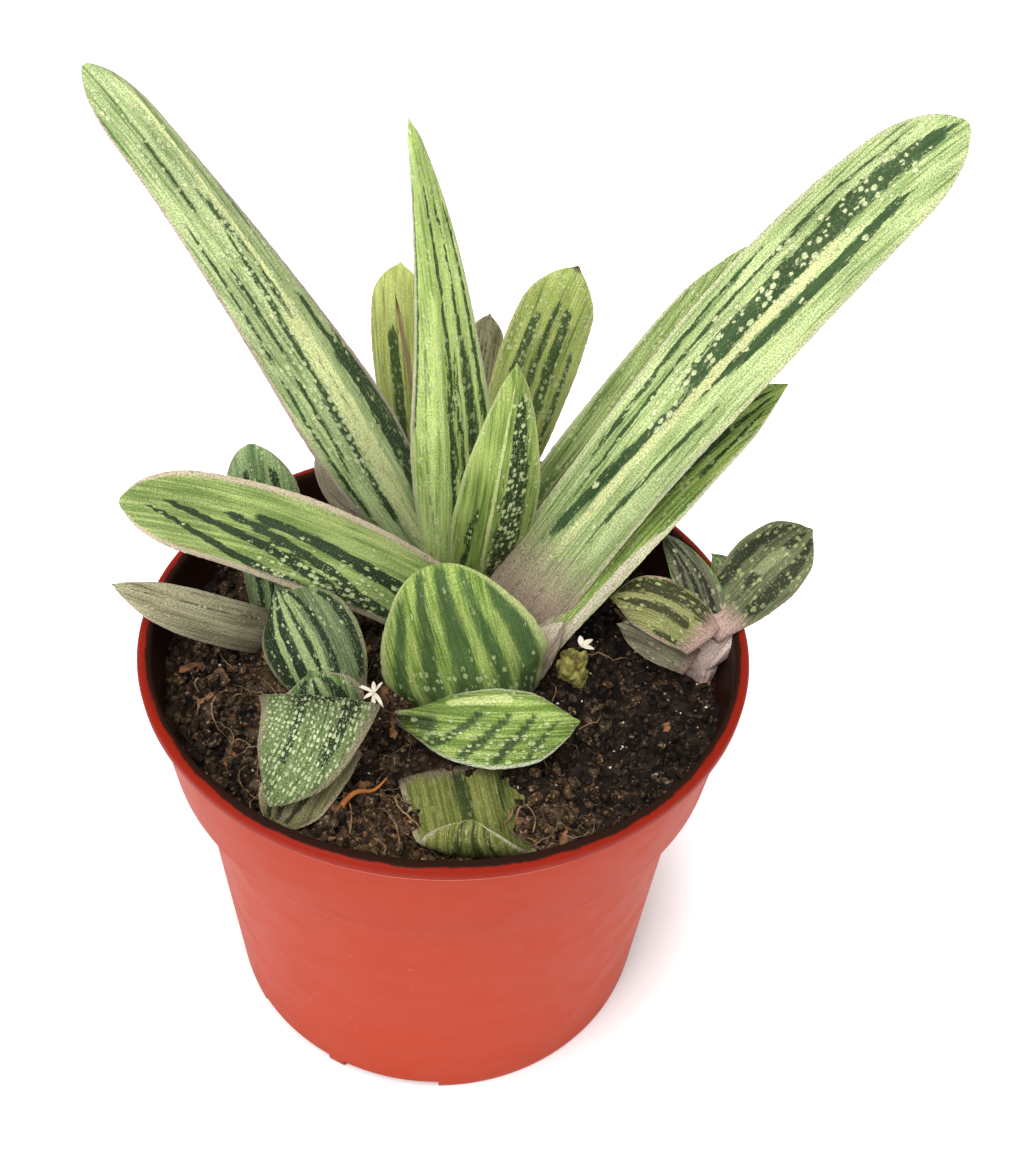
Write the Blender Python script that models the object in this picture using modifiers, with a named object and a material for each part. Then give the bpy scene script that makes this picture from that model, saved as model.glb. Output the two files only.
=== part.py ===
"""Potted gasteria: a tapered nursery pot, soil, a main rosette and two side pups. Millimetres, scaled once."""
import math
import bpy
import bmesh
import numpy as np
from mathutils import Vector
from mathutils.bvhtree import BVHTree

OBJECT_NAME = "potted_gasteria"
MM = 0.001                      # every dimension below is in millimetres

# pot
RIM_RADIUS = 60.0               # outside of the rolled lip
POT_HEIGHT = 95.0
LIP_DROP = 3.0                  # height of the lip band
COLLAR_TOP = 58.4
COLLAR_FOOT = 56.2
COLLAR_FOOT_HEIGHT = 70.5       # the step between collar and body
COLLAR_RISE = POT_HEIGHT - LIP_DROP - COLLAR_FOOT_HEIGHT
BODY_TOP = 52.2
BASE_RADIUS = 47.4
WALL = 1.3
FLOOR = 3.0
POT_SEGMENTS = 72
NOTCH_CENTRES = (-130.0, -99.5, -10.0, 20.5, 110.0, 140.5)   # degrees round the base edge
NOTCH_ARC = 23.0
NOTCH_RISE = 1.5
NOTCH_REACH = 9.0               # how far a notch runs in from the base edge
DRAIN_RADIUS = 3.5
DRAIN_RING = 30.0
DRAIN_COUNT = 6

# soil and stems
GAP = 0.35                      # clearance between neighbouring pieces
SOIL_EDGE = 81.5                # height where the soil meets the wall
SOIL_MOUND = 1.5                # rise towards the middle
WALL_ROOM = 0.6                 # clearance from the wall
STEP_ROOM = 0.9                 # more of it over the step inside the collar
SOIL_RINGS = 8
SOIL_SEGMENTS = 40
SOIL_BUMP = 4.5
LUMP_SPACING = 11.0

# leaf resolution
ALONG = 9
AROUND = 12                     # even, so the keel falls on a point

# Each leaf: base, middle and tip of its spine, the way its face looks, its widths at five
# even stations, the closing of the tip (start, power), front and back thickness, where the
# front keel sits at base and tip (-1 left edge, 1 right edge) and how sharp it is, the
# backward cup of its edges, and its twist in degrees.
LEAVES = {
    "leaf_round_front": dict(
        base=(6, -12, 86), mid=(1.7, -10, 99), tip=(-3.2, -3.5, 113), face=(-0.05, -0.9, 0.35),
        widths=(26, 33, 30.5, 24.5, 22), close=(0.6, 0.5), front=1.6, back=2.4, keel=(0, 0), sharp=2.0,
        cup=0.30, twist=0, shade=(0.16, 0.30, 0.06)),
    "leaf_front_low": dict(
        base=(-8, -22, 90.5), mid=(9, -25.5, 92.5), tip=(24.5, -25, 94), face=(-0.1, -0.5, 0.85),
        widths=(5, 11.5, 15.2, 13, 6), close=(0.72, 0.6), front=2.6, back=1.8, keel=(0.5, 0.1), sharp=1.6,
        cup=0.0, twist=0, shade=(0.17, 0.30, 0.08)),
    "leaf_front_buried": dict(
        base=(3.6, -30, 83.5), mid=(6, -43.2, 84), tip=(8.8, -49, 87.8), face=(0, 0.5, 0.85),
        widths=(24, 23, 20.5, 17, 13), close=(0.6, 0.5), front=1.0, back=3.2, keel=(0, 0), sharp=2.0,
        cup=0.06, twist=0, shade=(0.14, 0.20, 0.05)),
    "leaf_big_right": dict(
        base=(14.5, 10, 88), mid=(50.5, 12, 155), tip=(80.5, 14, 193), face=(-0.35, -0.8, 0.45),
        widths=(12.5, 16.2, 19.4, 17.8, 13), close=(0.84, 0.5), front=1.7, back=2.2, keel=(0.2, 0), sharp=1.8,
        cup=-0.08, twist=0, shade=(0.30, 0.42, 0.20)),
    "leaf_big_left": dict(
        base=(-3, 8, 91.5), mid=(-32, 2.7, 111.8), tip=(-58.5, -4, 126.5), face=(0.05, -0.75, 0.6),
        widths=(15, 16.6, 16.6, 13.6, 9.6), close=(0.8, 0.5), front=2.4, back=2.0, keel=(-0.35, -0.35),
        sharp=1.7, cup=0.0, twist=0, shade=(0.22, 0.36, 0.10)),
    "leaf_small_centre": dict(
        base=(6.5, 18, 89), mid=(9.6, 8.5, 125), tip=(11, 6, 151), face=(0.1, -0.9, 0.3),
        widths=(10, 16.8, 15, 9.4, 2), close=(0.9, 0.8), front=3.2, back=1.4, keel=(-0.15, -0.2), sharp=1.15,
        cup=0.0, twist=0, shade=(0.10, 0.20, 0.07)),
    "leaf_tall_centre": dict(
        base=(1, 24, 88), mid=(-1.5, 16, 150), tip=(-8, 12, 191), face=(0.05, -0.95, 0.2),
        widths=(13, 17.4, 11.4, 6.6, 1.2), close=(0.94, 0.8), front=4.2, back=1.6, keel=(-0.1, -0.5), sharp=1.1,
        cup=0.0, twist=0, shade=(0.24, 0.40, 0.10)),
    "leaf_upper_left": dict(
        base=(-3.5, 26, 89), mid=(-33.8, 23, 151), tip=(-61, 26, 192), face=(0.35, -0.85, 0.35),
        widths=(12, 19.2, 14.6, 10.4, 8.4), close=(0.86, 0.5), front=3.8, back=1.8, keel=(0.1, 0.7), sharp=1.15,
        cup=0.0, twist=0, shade=(0.28, 0.40, 0.16)),
    "leaf_under_right": dict(
        base=(18, 4, 87.5), mid=(40.2, 13, 120.5), tip=(62.5, 19, 140.5), face=(-0.3, -0.6, 0.7),
        widths=(11, 16, 16.5, 13, 5), close=(0.8, 0.6), front=1.6, back=2.6, keel=(0.3, 0.3), sharp=1.7,
        cup=-0.06, twist=0, shade=(0.14, 0.26, 0.08)),
    "leaf_behind_right": dict(
        base=(17, 31, 90), mid=(37, 28, 131), tip=(54, 35, 160), face=(-0.3, -0.85, 0.4),
        widths=(11, 15, 15, 12, 5), close=(0.8, 0.6), front=1.6, back=2.2, keel=(0, 0), sharp=1.8,
        cup=0.0, twist=0, shade=(0.28, 0.36, 0.16)),
    "leaf_back_right": dict(
        base=(10, 47, 88), mid=(17.3, 44.5, 127.5), tip=(24, 46, 149), face=(0, -0.9, 0.4),
        widths=(10, 15.5, 17.2, 15.5, 9), close=(0.76, 0.6), front=1.8, back=1.8, keel=(0, 0), sharp=1.8,
        cup=0.0, twist=0, shade=(0.20, 0.30, 0.10)),
    "leaf_back_left": dict(
        base=(-7, 45, 88), mid=(-10.5, 44, 130), tip=(-11, 46, 148.5), face=(-0.1, -0.9, 0.4),
        widths=(9, 12, 13, 11.5, 6), close=(0.76, 0.6), front=2.0, back=1.6, keel=(0, 0), sharp=1.6,
        cup=0.0, twist=0, shade=(0.16, 0.24, 0.08)),
    "leaf_back_tip": dict(
        base=(4, 52.5, 92), mid=(5.8, 53, 120), tip=(7.2, 52, 134.5), face=(0, -0.95, 0.3),
        widths=(6, 8, 9, 8, 4), close=(0.76, 0.6), front=1.1, back=1.1, keel=(0, 0), sharp=1.8,
        cup=0.0, twist=0, shade=(0.12, 0.14, 0.10)),
    "dried_strip": dict(
        base=(-8.5, 37.5, 124), mid=(-9.7, 37, 136), tip=(-11.5, 36.5, 146.5), face=(-0.5, -0.8, 0.3),
        widths=(1.8, 1.7, 1.5, 1.2, 0.8), close=(0.9, 0.6), front=0.3, back=0.3, keel=(0, 0), sharp=1.8,
        cup=0.0, twist=25, shade=(0.30, 0.22, 0.13)),
    "leaf_dark_left": dict(
        base=(-33, 3, 85), mid=(-35.3, 11, 105), tip=(-35, 13, 127.5), face=(-0.15, -0.85, 0.5),
        widths=(11, 13.5, 14.5, 14.5, 9), close=(0.76, 0.55), front=1.8, back=1.8, keel=(0, 0), sharp=1.7,
        cup=0.1, twist=0, shade=(0.10, 0.20, 0.07)),
    "leaf_grey_left": dict(
        base=(-37, 2.5, 89), mid=(-49.5, -3.5, 99.2), tip=(-63.5, -2.5, 105), face=(-0.15, -0.7, 0.7),
        widths=(9.5, 9.8, 9.6, 7.6, 1.2), close=(0.92, 0.7), front=2.4, back=1.0, keel=(0, 0), sharp=1.8,
        cup=0.06, twist=0, shade=(0.26, 0.24, 0.19)),
    "leaf_beige_base": dict(
        base=(-20, 45, 88), mid=(-26, 44, 95), tip=(-28.5, 43.5, 105), face=(-0.2, -0.85, 0.45),
        widths=(7, 7.5, 6.5, 5, 3), close=(0.8, 0.6), front=0.9, back=0.9, keel=(0, 0), sharp=1.8,
        cup=0.0, twist=0, shade=(0.42, 0.38, 0.28)),
    "left_pup_lower": dict(
        base=(-22.5, -27, 99), mid=(-24, -35.6, 97), tip=(-30, -42.5, 89.5), face=(-0.1, -0.62, 0.78),
        widths=(21, 20, 18.6, 16, 11), close=(0.62, 0.55), front=1.6, back=1.6, keel=(0, 0), sharp=1.8,
        cup=0.06, twist=0, shade=(0.14, 0.26, 0.10)),
    "left_pup_under": dict(
        base=(-20.5, -26, 90), mid=(-25.5, -35.5, 87.8), tip=(-29.5, -44.5, 84.6), face=(-0.1, -0.55, 0.82),
        widths=(13, 14.5, 14, 12.5, 8), close=(0.66, 0.55), front=1.2, back=1.2, keel=(0, 0), sharp=1.8,
        cup=0.06, twist=0, shade=(0.14, 0.20, 0.08)),
    "left_pup_bud": dict(
        base=(-22.5, -23.5, 94), mid=(-23, -24, 98.5), tip=(-24.5, -21.8, 102), face=(0, -0.9, 0.5),
        widths=(15, 16, 15.5, 12.5, 8), close=(0.6, 0.55), front=1.0, back=1.0, keel=(0, 0), sharp=1.8,
        cup=0.12, twist=0, shade=(0.16, 0.26, 0.10)),
    "left_pup_upper": dict(
        base=(-21.5, -14.5, 88), mid=(-26, -9, 98), tip=(-33, 0.5, 103), face=(-0.1, -0.68, 0.72),
        widths=(13, 18, 19.5, 17, 10), close=(0.66, 0.55), front=2.0, back=1.6, keel=(0, 0), sharp=1.8,
        cup=0.10, twist=0, shade=(0.10, 0.20, 0.08)),
    "right_pup_front": dict(
        base=(51, -3.5, 95), mid=(43, 1.5, 99), tip=(33, 5.5, 98), face=(0.05, -0.7, 0.72),
        widths=(8.5, 12, 12.4, 10.6, 4), close=(0.78, 0.6), front=1.6, back=1.2, keel=(0.2, 0.2), sharp=1.5,
        cup=0.0, twist=0, shade=(0.22, 0.27, 0.14)),
    "right_pup_upright": dict(
        base=(51.8, 0.5, 94), mid=(48.8, 5.5, 103), tip=(42.5, 12.5, 109), face=(-0.1, -0.75, 0.65),
        widths=(10.5, 10.5, 8.8, 5.8, 1.6), close=(0.88, 0.7), front=1.6, back=1.0, keel=(0.4, 0.4), sharp=1.4,
        cup=0.0, twist=0, shade=(0.14, 0.22, 0.09)),
    "right_pup_big": dict(
        base=(51.8, -1, 95), mid=(63.6, 9, 103.4), tip=(73, 15, 109), face=(-0.1, -0.7, 0.7),
        widths=(6, 13, 15.6, 13, 7), close=(0.76, 0.55), front=1.7, back=1.2, keel=(0, 0), sharp=1.8,
        cup=-0.1, twist=0, shade=(0.16, 0.24, 0.12)),
    "right_pup_back": dict(
        base=(55.5, 6.5, 97), mid=(56.2, 9, 101), tip=(53.6, 12.5, 104), face=(-0.1, -0.75, 0.65),
        widths=(4, 6, 6.4, 5.4, 3), close=(0.74, 0.55), front=0.9, back=0.9, keel=(0, 0), sharp=1.8,
        cup=0.0, twist=0, shade=(0.14, 0.20, 0.10)),
    "right_pup_under": dict(
        base=(49.5, -3.5, 89), mid=(42.5, 0.5, 91), tip=(35, 4, 92), face=(0.05, -0.75, 0.66),
        widths=(6, 8, 8.6, 7, 3), close=(0.78, 0.6), front=1.0, back=1.0, keel=(0, 0), sharp=1.8,
        cup=0.0, twist=0, shade=(0.20, 0.22, 0.13)),
}

# stubby stems: foot and top of the axis with the radius at each
STEMS = {
    "main_stem": dict(foot=(7, 13, 78.0), top=(7, 15, 86.0), radii=(5.0, 4.0), shade=(0.30, 0.26, 0.18)),
    "left_pup_stem": dict(foot=(-20.5, -17.5, 78.0), top=(-21.5, -19.5, 91.5), radii=(4.2, 3.2),
                          shade=(0.28, 0.24, 0.18)),
    "right_pup_stem": dict(foot=(51.6, 0.0, 79.0), top=(52.2, -0.5, 91.5), radii=(2.2, 4.4),
                           shade=(0.40, 0.31, 0.27)),
}
STEM_SIDES = 14
LUMP_CENTRE = (26.0, -3.5, 86.5)
LUMP_SIZE = (3.1, 2.8, 4.4)

IN_THE_SOIL = ("leaf_round_front", "leaf_front_buried", "left_pup_under", "main_stem", "left_pup_stem",
               "right_pup_stem", "soil_lump")

POT_COLOUR = (0.66, 0.13, 0.08)
SOIL_COLOUR = (0.035, 0.022, 0.014)
LUMP_COLOUR = (0.33, 0.33, 0.06)


def unit(vector):
    return vector / np.linalg.norm(vector)


def leaf_point(leaf, along, angle, grow):
    """One point of a leaf's skin at a distance along it and an angle round it."""
    base, mid, tip = (np.array(leaf[key], float) for key in ("base", "mid", "tip"))
    control = 2.0 * mid - 0.5 * (base + tip)
    spot = (1 - along) ** 2 * base + 2 * along * (1 - along) * control + along ** 2 * tip
    tangent = unit(2 * (1 - along) * (control - base) + 2 * along * (tip - control))
    face = np.array(leaf["face"], float)
    normal = unit(face - face.dot(tangent) * tangent)
    turn = math.radians(leaf["twist"]) * (along - 0.5)
    side = np.cross(tangent, normal)
    normal, side = (math.cos(turn) * normal + math.sin(turn) * side,
                    math.cos(turn) * side - math.sin(turn) * normal)

    stations = np.linspace(0.0, 1.0, len(leaf["widths"]))
    half = 0.5 * float(np.interp(along, stations, leaf["widths"]))
    start, power = leaf["close"]
    closing = 1.0
    if along > start:
        closing = max(0.0, 1.0 - ((along - start) / (1.0 - start)) ** 2) ** power
    taper = closing * (1.0 - 0.3 * along)

    across = -math.cos(angle)
    keel = leaf["keel"][0] * (1 - along) + leaf["keel"][1] * along
    front = math.sin(angle) > 0
    if front:
        place = keel + (1 - keel) * across if across > 0 else keel + (1 + keel) * across
        rise = (leaf["front"] * taper + grow) * (1 - abs(across) ** leaf["sharp"])
    else:
        place = across
        rise = -(leaf["back"] * taper + grow) * (1 - abs(across) ** 2.2)
    reach = half * closing
    rise -= leaf["cup"] * reach * place ** 2
    return spot + side * place * (reach + grow) + normal * rise + tangent * grow * (2 * along - 1)


def new_object(name, mesh, collection):
    item = bpy.data.objects.new(name, mesh)
    collection.objects.link(item)
    return item


def finish_mesh(name, body, smooth=True):
    bmesh.ops.recalc_face_normals(body, faces=body.faces)
    for face in body.faces:
        face.smooth = smooth
    bmesh.ops.scale(body, vec=(MM, MM, MM), verts=body.verts)
    mesh = bpy.data.meshes.new(name)
    body.to_mesh(mesh)
    body.free()
    return mesh


def leaf_mesh(name, leaf, grow=0.0):
    """A grid wrapped round the leaf, closed at the base by a cap and at the tip by merging."""
    body = bmesh.new()
    bmesh.ops.create_grid(body, x_segments=AROUND, y_segments=ALONG, size=1.0)
    for vert in body.verts:
        angle = math.pi * (vert.co.x + 1.0)
        step = 0.5 * (vert.co.y + 1.0)
        along = 1.0 - (1.0 - step) ** 1.5
        vert.co = Vector(leaf_point(leaf, along, angle % (2 * math.pi), grow))
    bmesh.ops.remove_doubles(body, verts=body.verts, dist=0.02)
    bmesh.ops.holes_fill(body, edges=body.edges, sides=0)
    return finish_mesh(name, body)


def stem_mesh(name, stem, grow=0.0):
    body = bmesh.new()
    foot, top = Vector(stem["foot"]), Vector(stem["top"])
    length = (top - foot).length + 2 * grow
    made = bmesh.ops.create_cone(body, cap_ends=True, segments=STEM_SIDES, depth=length,
                                 radius1=stem["radii"][0] + grow, radius2=stem["radii"][1] + grow)
    turn = (top - foot).to_track_quat("Z", "Y").to_matrix()
    bmesh.ops.rotate(body, verts=made["verts"], cent=(0, 0, 0), matrix=turn)
    bmesh.ops.translate(body, verts=body.verts, vec=(foot + top) / 2)
    return finish_mesh(name, body)


def lump_mesh(name, _spec, grow=0.0):
    body = bmesh.new()
    bmesh.ops.create_icosphere(body, subdivisions=3, radius=1.0)
    for vert in body.verts:
        ripple = 1.0 + 0.10 * math.sin(5 * vert.co.x + 1.0) * math.cos(4 * vert.co.y + 3 * vert.co.z)
        vert.co = Vector([LUMP_CENTRE[i] + vert.co[i] * (LUMP_SIZE[i] * ripple + grow) for i in range(3)])
    return finish_mesh(name, body)


def turned(name, profile, segments, collection):
    """A closed body turned from a profile that starts and ends on the axis."""
    mesh = bpy.data.meshes.new(name)
    points = [(radius * MM, 0, height * MM) for radius, height in profile]
    mesh.from_pydata(points, [(i, i + 1) for i in range(len(points) - 1)], [])
    item = new_object(name, mesh, collection)
    turn = item.modifiers.new("turn", "SCREW")
    turn.axis = "Z"
    turn.angle = 2 * math.pi
    turn.steps = turn.render_steps = segments
    turn.use_merge_vertices = True
    turn.merge_threshold = 0.00001
    turn.use_smooth_shade = True
    return item


def turn_pot(collection):
    body_inner = BODY_TOP - WALL
    lip_top, lip_under = POT_HEIGHT, POT_HEIGHT - LIP_DROP
    profile = [
        (0, FLOOR), (BASE_RADIUS - WALL - 1.5, FLOOR), (BASE_RADIUS - WALL, FLOOR + 1.5),
        (body_inner, COLLAR_FOOT_HEIGHT), (COLLAR_FOOT - WALL, COLLAR_FOOT_HEIGHT + 1.6),
        (COLLAR_TOP - WALL, lip_under), (COLLAR_TOP - WALL + 0.2, lip_top - 0.5),
        (COLLAR_TOP - WALL + 0.8, lip_top), (RIM_RADIUS - 0.7, lip_top), (RIM_RADIUS, lip_top - 0.7),
        (RIM_RADIUS - 0.2, lip_under + 0.5), (RIM_RADIUS - 0.6, lip_under), (COLLAR_TOP, lip_under - 0.6),
        (COLLAR_FOOT, COLLAR_FOOT_HEIGHT + 0.7), (COLLAR_FOOT - 0.7, COLLAR_FOOT_HEIGHT),
        (BODY_TOP + 0.2, COLLAR_FOOT_HEIGHT - 0.8), (BODY_TOP - 0.1, COLLAR_FOOT_HEIGHT - 2.0),
        (BASE_RADIUS + 0.15, 1.4), (BASE_RADIUS - 0.8, 0), (0, 0)]
    return turned("pot", profile, POT_SEGMENTS, collection)


def turn_soil(collection):
    """Soil that fills the pot up to its wall, with a mounded and lumpy top."""
    wall_edge = COLLAR_FOOT + (COLLAR_TOP - COLLAR_FOOT) * (SOIL_EDGE - COLLAR_FOOT_HEIGHT) / COLLAR_RISE - WALL
    shoulder = BODY_TOP - WALL - WALL_ROOM
    profile = [(0, SOIL_EDGE + SOIL_MOUND)]
    outer = wall_edge - WALL_ROOM
    for ring in range(1, SOIL_RINGS + 1):
        radius = outer * ring / SOIL_RINGS
        profile.append((radius, SOIL_EDGE + SOIL_MOUND * (1 - (radius / outer) ** 2)))
    top_points = len(profile)
    profile += [(outer - STEP_ROOM, COLLAR_FOOT_HEIGHT + 3.0), (shoulder, COLLAR_FOOT_HEIGHT + 1.6),
                (BASE_RADIUS - WALL - 2.2, FLOOR + GAP), (0, FLOOR + GAP)]
    item = turned("soil", profile, SOIL_SEGMENTS, collection)
    item.vertex_groups.new(name="top").add(list(range(top_points)), 1.0, "REPLACE")
    lumps = bpy.data.textures.new("lumps", "CLOUDS")
    lumps.noise_scale = LUMP_SPACING * MM
    lumps.noise_depth = 1
    rough = item.modifiers.new("lumps", "DISPLACE")
    rough.texture = lumps
    rough.texture_coords = "LOCAL"
    rough.direction = "Z"
    rough.vertex_group = "top"
    rough.strength = SOIL_BUMP * MM
    return item


def notch_cutters(collection):
    """Shallow drainage notches round the base edge, and drain holes through the floor."""
    body = bmesh.new()
    inner = BASE_RADIUS - NOTCH_REACH
    for centre in NOTCH_CENTRES:
        made = bmesh.ops.create_cube(body, size=1.0)["verts"]
        for vert in made:
            swing = math.radians(centre + NOTCH_ARC * vert.co.y)
            radius = inner if vert.co.x < 0 else BASE_RADIUS + 4.0
            height = NOTCH_RISE if vert.co.z > 0 else -2.0
            vert.co = Vector((radius * math.cos(swing), radius * math.sin(swing), height))
    for index in range(DRAIN_COUNT):
        swing = math.radians(7.0 + 360.0 * index / DRAIN_COUNT)
        made = bmesh.ops.create_cone(body, cap_ends=True, segments=16, radius1=DRAIN_RADIUS,
                                     radius2=DRAIN_RADIUS, depth=4 * FLOOR)["verts"]
        bmesh.ops.translate(body, verts=made,
                            vec=(DRAIN_RING * math.cos(swing), DRAIN_RING * math.sin(swing), 0))
    return as_cutter(new_object("pot_notches", finish_mesh("pot_notches", body, False), collection))


def as_cutter(item):
    item.hide_render = True
    item.display_type = "WIRE"
    return item


def subtract(item, cutter):
    cut = item.modifiers.new("cut_" + cutter.name, "BOOLEAN")
    cut.operation = "DIFFERENCE"
    cut.solver = "EXACT"
    cut.object = cutter


def tree_of(mesh):
    return BVHTree.FromPolygons([vert.co.copy() for vert in mesh.vertices],
                                [tuple(face.vertices) for face in mesh.polygons])


def painted(item, colour, roughness):
    material = bpy.data.materials.new(item.name)
    material.use_nodes = True
    shader = material.node_tree.nodes["Principled BSDF"]
    shader.inputs["Base Color"].default_value = (*colour, 1.0)
    shader.inputs["Roughness"].default_value = roughness
    item.data.materials.append(material)


def build():
    for item in list(bpy.data.objects):
        bpy.data.objects.remove(item)
    parts = bpy.data.collections.new(OBJECT_NAME)
    cutters = bpy.data.collections.new("cutters")
    for collection in (parts, cutters):
        bpy.context.scene.collection.children.link(collection)

    pot = turn_pot(parts)
    subtract(pot, notch_cutters(cutters))
    painted(pot, POT_COLOUR, 0.5)

    earlier = []                # the room that each piece already placed keeps round itself
    for name, spec in [*LEAVES.items(), *STEMS.items(), ("soil_lump", None)]:
        make = leaf_mesh if name in LEAVES else stem_mesh if name in STEMS else lump_mesh
        item = new_object(name, make(name, spec), parts)
        shape = tree_of(item.data)
        for room_tree, room in earlier:
            if shape.overlap(room_tree):
                subtract(item, room)
        painted(item, spec["shade"] if spec else LUMP_COLOUR, 0.5)
        room = as_cutter(new_object(name + "_room", make(name + "_room", spec, GAP), cutters))
        earlier.append((tree_of(room.data), room))

    soil = turn_soil(parts)
    for name in IN_THE_SOIL:
        subtract(soil, bpy.data.objects[name + "_room"])
    painted(soil, SOIL_COLOUR, 0.95)


build()
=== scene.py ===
import math
import random
import bpy
import bmesh
import numpy as np
from mathutils import Matrix, Vector, noise


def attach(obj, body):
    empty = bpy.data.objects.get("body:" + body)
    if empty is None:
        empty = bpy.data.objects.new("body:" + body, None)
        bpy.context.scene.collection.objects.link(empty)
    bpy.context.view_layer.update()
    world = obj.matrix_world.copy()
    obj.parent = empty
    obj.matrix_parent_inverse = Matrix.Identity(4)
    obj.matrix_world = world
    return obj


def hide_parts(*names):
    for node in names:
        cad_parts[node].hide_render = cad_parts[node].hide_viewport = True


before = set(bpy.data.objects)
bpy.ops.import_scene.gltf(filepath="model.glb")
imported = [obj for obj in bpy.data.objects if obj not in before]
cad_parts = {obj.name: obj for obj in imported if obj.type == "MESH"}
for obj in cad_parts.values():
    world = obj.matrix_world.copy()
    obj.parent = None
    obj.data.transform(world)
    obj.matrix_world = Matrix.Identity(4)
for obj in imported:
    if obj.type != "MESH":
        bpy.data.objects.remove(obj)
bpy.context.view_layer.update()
mm = 0.001
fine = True


def shade(red, green, blue):
    # display values 0 to 255, made linear
    tones = [value / 255 for value in (red, green, blue)]
    return tuple(t / 12.92 if t < 0.04045 else ((t + 0.055) / 1.055) ** 2.4 for t in tones) + (1.0,)


def feed(tree, socket, value):
    if isinstance(value, bpy.types.NodeSocket):
        tree.links.new(value, socket)
    else:
        socket.default_value = value


def put(tree, kind, inputs=None, **settings):
    node = tree.nodes.new("ShaderNode" + kind)
    for key, value in settings.items():
        setattr(node, key, value)
    for key, value in (inputs or {}).items():
        feed(tree, node.inputs[key], value)
    return node


def calc(tree, operation, first, second=0.0, third=0.0, clamp=False):
    inputs = {0: first, 1: second}
    if operation == "MULTIPLY_ADD":
        inputs[2] = third
    return put(tree, "Math", inputs, operation=operation, use_clamp=clamp).outputs[0]


def times(tree, first, second):
    return calc(tree, "MULTIPLY", first, second)


def swayed(tree, source, reach, middle=0.0):
    # a cloud's value, which runs from 0 to 1, as a drift of half of reach to either side of middle
    return calc(tree, "MULTIPLY_ADD", calc(tree, "SUBTRACT", source, 0.5), reach, middle)


def smooth(tree, value, low, high, toLow=0.0, toHigh=1.0):
    node = put(tree, "MapRange", {"Value": value, "From Min": low, "From Max": high,
                                  "To Min": toLow, "To Max": toHigh}, interpolation_type="SMOOTHSTEP")
    return node.outputs["Result"]


def blendColour(tree, factor, first, second):
    node = put(tree, "Mix", data_type="RGBA", clamp_factor=True)
    for socket, value in ((node.inputs[0], factor), (node.inputs[6], first), (node.inputs[7], second)):
        feed(tree, socket, value)
    return node.outputs[2]


def attribute(tree, name):
    return put(tree, "Attribute", attribute_name=name).outputs["Fac"]


def stretched(tree, source, scale, shift=(0, 0, 0)):
    return put(tree, "Mapping", {"Vector": source, "Location": shift, "Scale": scale}).outputs[0]


def cloud(tree, vector, scale, detail=2.0, rough=0.5, warp=0.0):
    node = put(tree, "TexNoise", {"Vector": vector, "Scale": scale, "Detail": detail, "Roughness": rough,
                                  "Distortion": warp})
    return node.outputs["Fac"]


def fromAxis(tree, where):
    flat = stretched(tree, where, (1, 1, 0))
    return put(tree, "VectorMath", {0: flat}, operation="LENGTH").outputs["Value"]


def startMaterial(name):
    material = bpy.data.materials.new(name)
    material.use_nodes = True
    return material, material.node_tree, material.node_tree.nodes["Principled BSDF"]


def finishMaterial(tree, shader, colour, height, strength, depth, roughness, specular=0.5):
    # height gives the relief, depth is its full size in millimetres
    bump = put(tree, "Bump", {"Height": height, "Strength": strength, "Distance": depth * mm})
    for key, value in (("Base Color", colour), ("Normal", bump.outputs[0]), ("Roughness", roughness),
                       ("Specular IOR Level", specular)):
        feed(tree, shader.inputs[key], value)


toneNames = ("pale", "fresh", "dark", "dots", "margin", "foot", "ridge")
leafTones = {  # pale ground, fresh green, dark stripe, dots, margin, foot of the leaf and raised ridges, the last partly painted highlight
    "pale": ((206, 222, 156), (138, 164, 96), (40, 70, 36), (218, 228, 172),
        (196, 200, 156), (178, 158, 136), (224, 230, 164)),
    "bright": ((176, 196, 108), (112, 140, 60), (36, 58, 32), (208, 222, 160),
        (184, 194, 130), (172, 160, 134), (216, 226, 150)),
    "deep": ((142, 160, 104), (80, 104, 56), (26, 44, 26), (196, 208, 158),
        (136, 138, 104), (150, 130, 114), (180, 186, 140)),
    "olive": ((152, 164, 94), (102, 120, 56), (50, 66, 34), (190, 196, 136),
        (154, 148, 106), (136, 122, 100), (190, 190, 130)),
    "mauve": ((150, 144, 116), (98, 92, 74), (48, 50, 36), (176, 172, 138),
        (150, 132, 118), (168, 140, 126), (170, 168, 130)),
    "grey": ((182, 176, 140), (134, 128, 98), (84, 80, 60), (200, 194, 164),
        (186, 178, 150), (150, 138, 120), (180, 172, 146)),
    "beige": ((204, 190, 164), (184, 166, 140), (140, 124, 100), (220, 212, 190),
        (214, 206, 184), (170, 150, 126), (214, 206, 184)),
    "pink": ((250, 224, 210), (232, 198, 184), (148, 112, 104), (222, 200, 188),
        (212, 186, 172), (150, 118, 104), (210, 186, 170)),
    "dry": ((182, 160, 122), (150, 126, 92), (84, 64, 46), (196, 176, 142),
        (140, 114, 82), (120, 94, 66), (190, 166, 124)),
}
leafClouds = dict(  # waves per millimetre across and along the leaf, detail, roughness and warp
    streak=(0.95, 0.045, 3.0, 0.55, 0.2), fineStreak=(2.4, 0.035, 2.0, 0.6, 0.0),
    torn=(1.9, 0.22, 3.0, 0.6, 0.3), grain=(2.6, 2.0, 2.0, 0.6, 0.0), blotch=(0.30, 0.07, 2.0, 0.5, 0.0),
    drift=(0.16, 0.045, 2.0, 0.5, 0.0))
leafDots = (((0.95, 0.62, 1), 0.20, 0.24), ((1.7, 1.35, 1), 0.16, 0.20))  # cells, least size, spread
leafFinish = dict(pores=(2.9, 2.3, 1), deeper=0.7, brown=(96, 70, 48), relief=0.9, depth=0.7, specular=0.12,
                  glow=0.05, glowReach=1.0)


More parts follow.
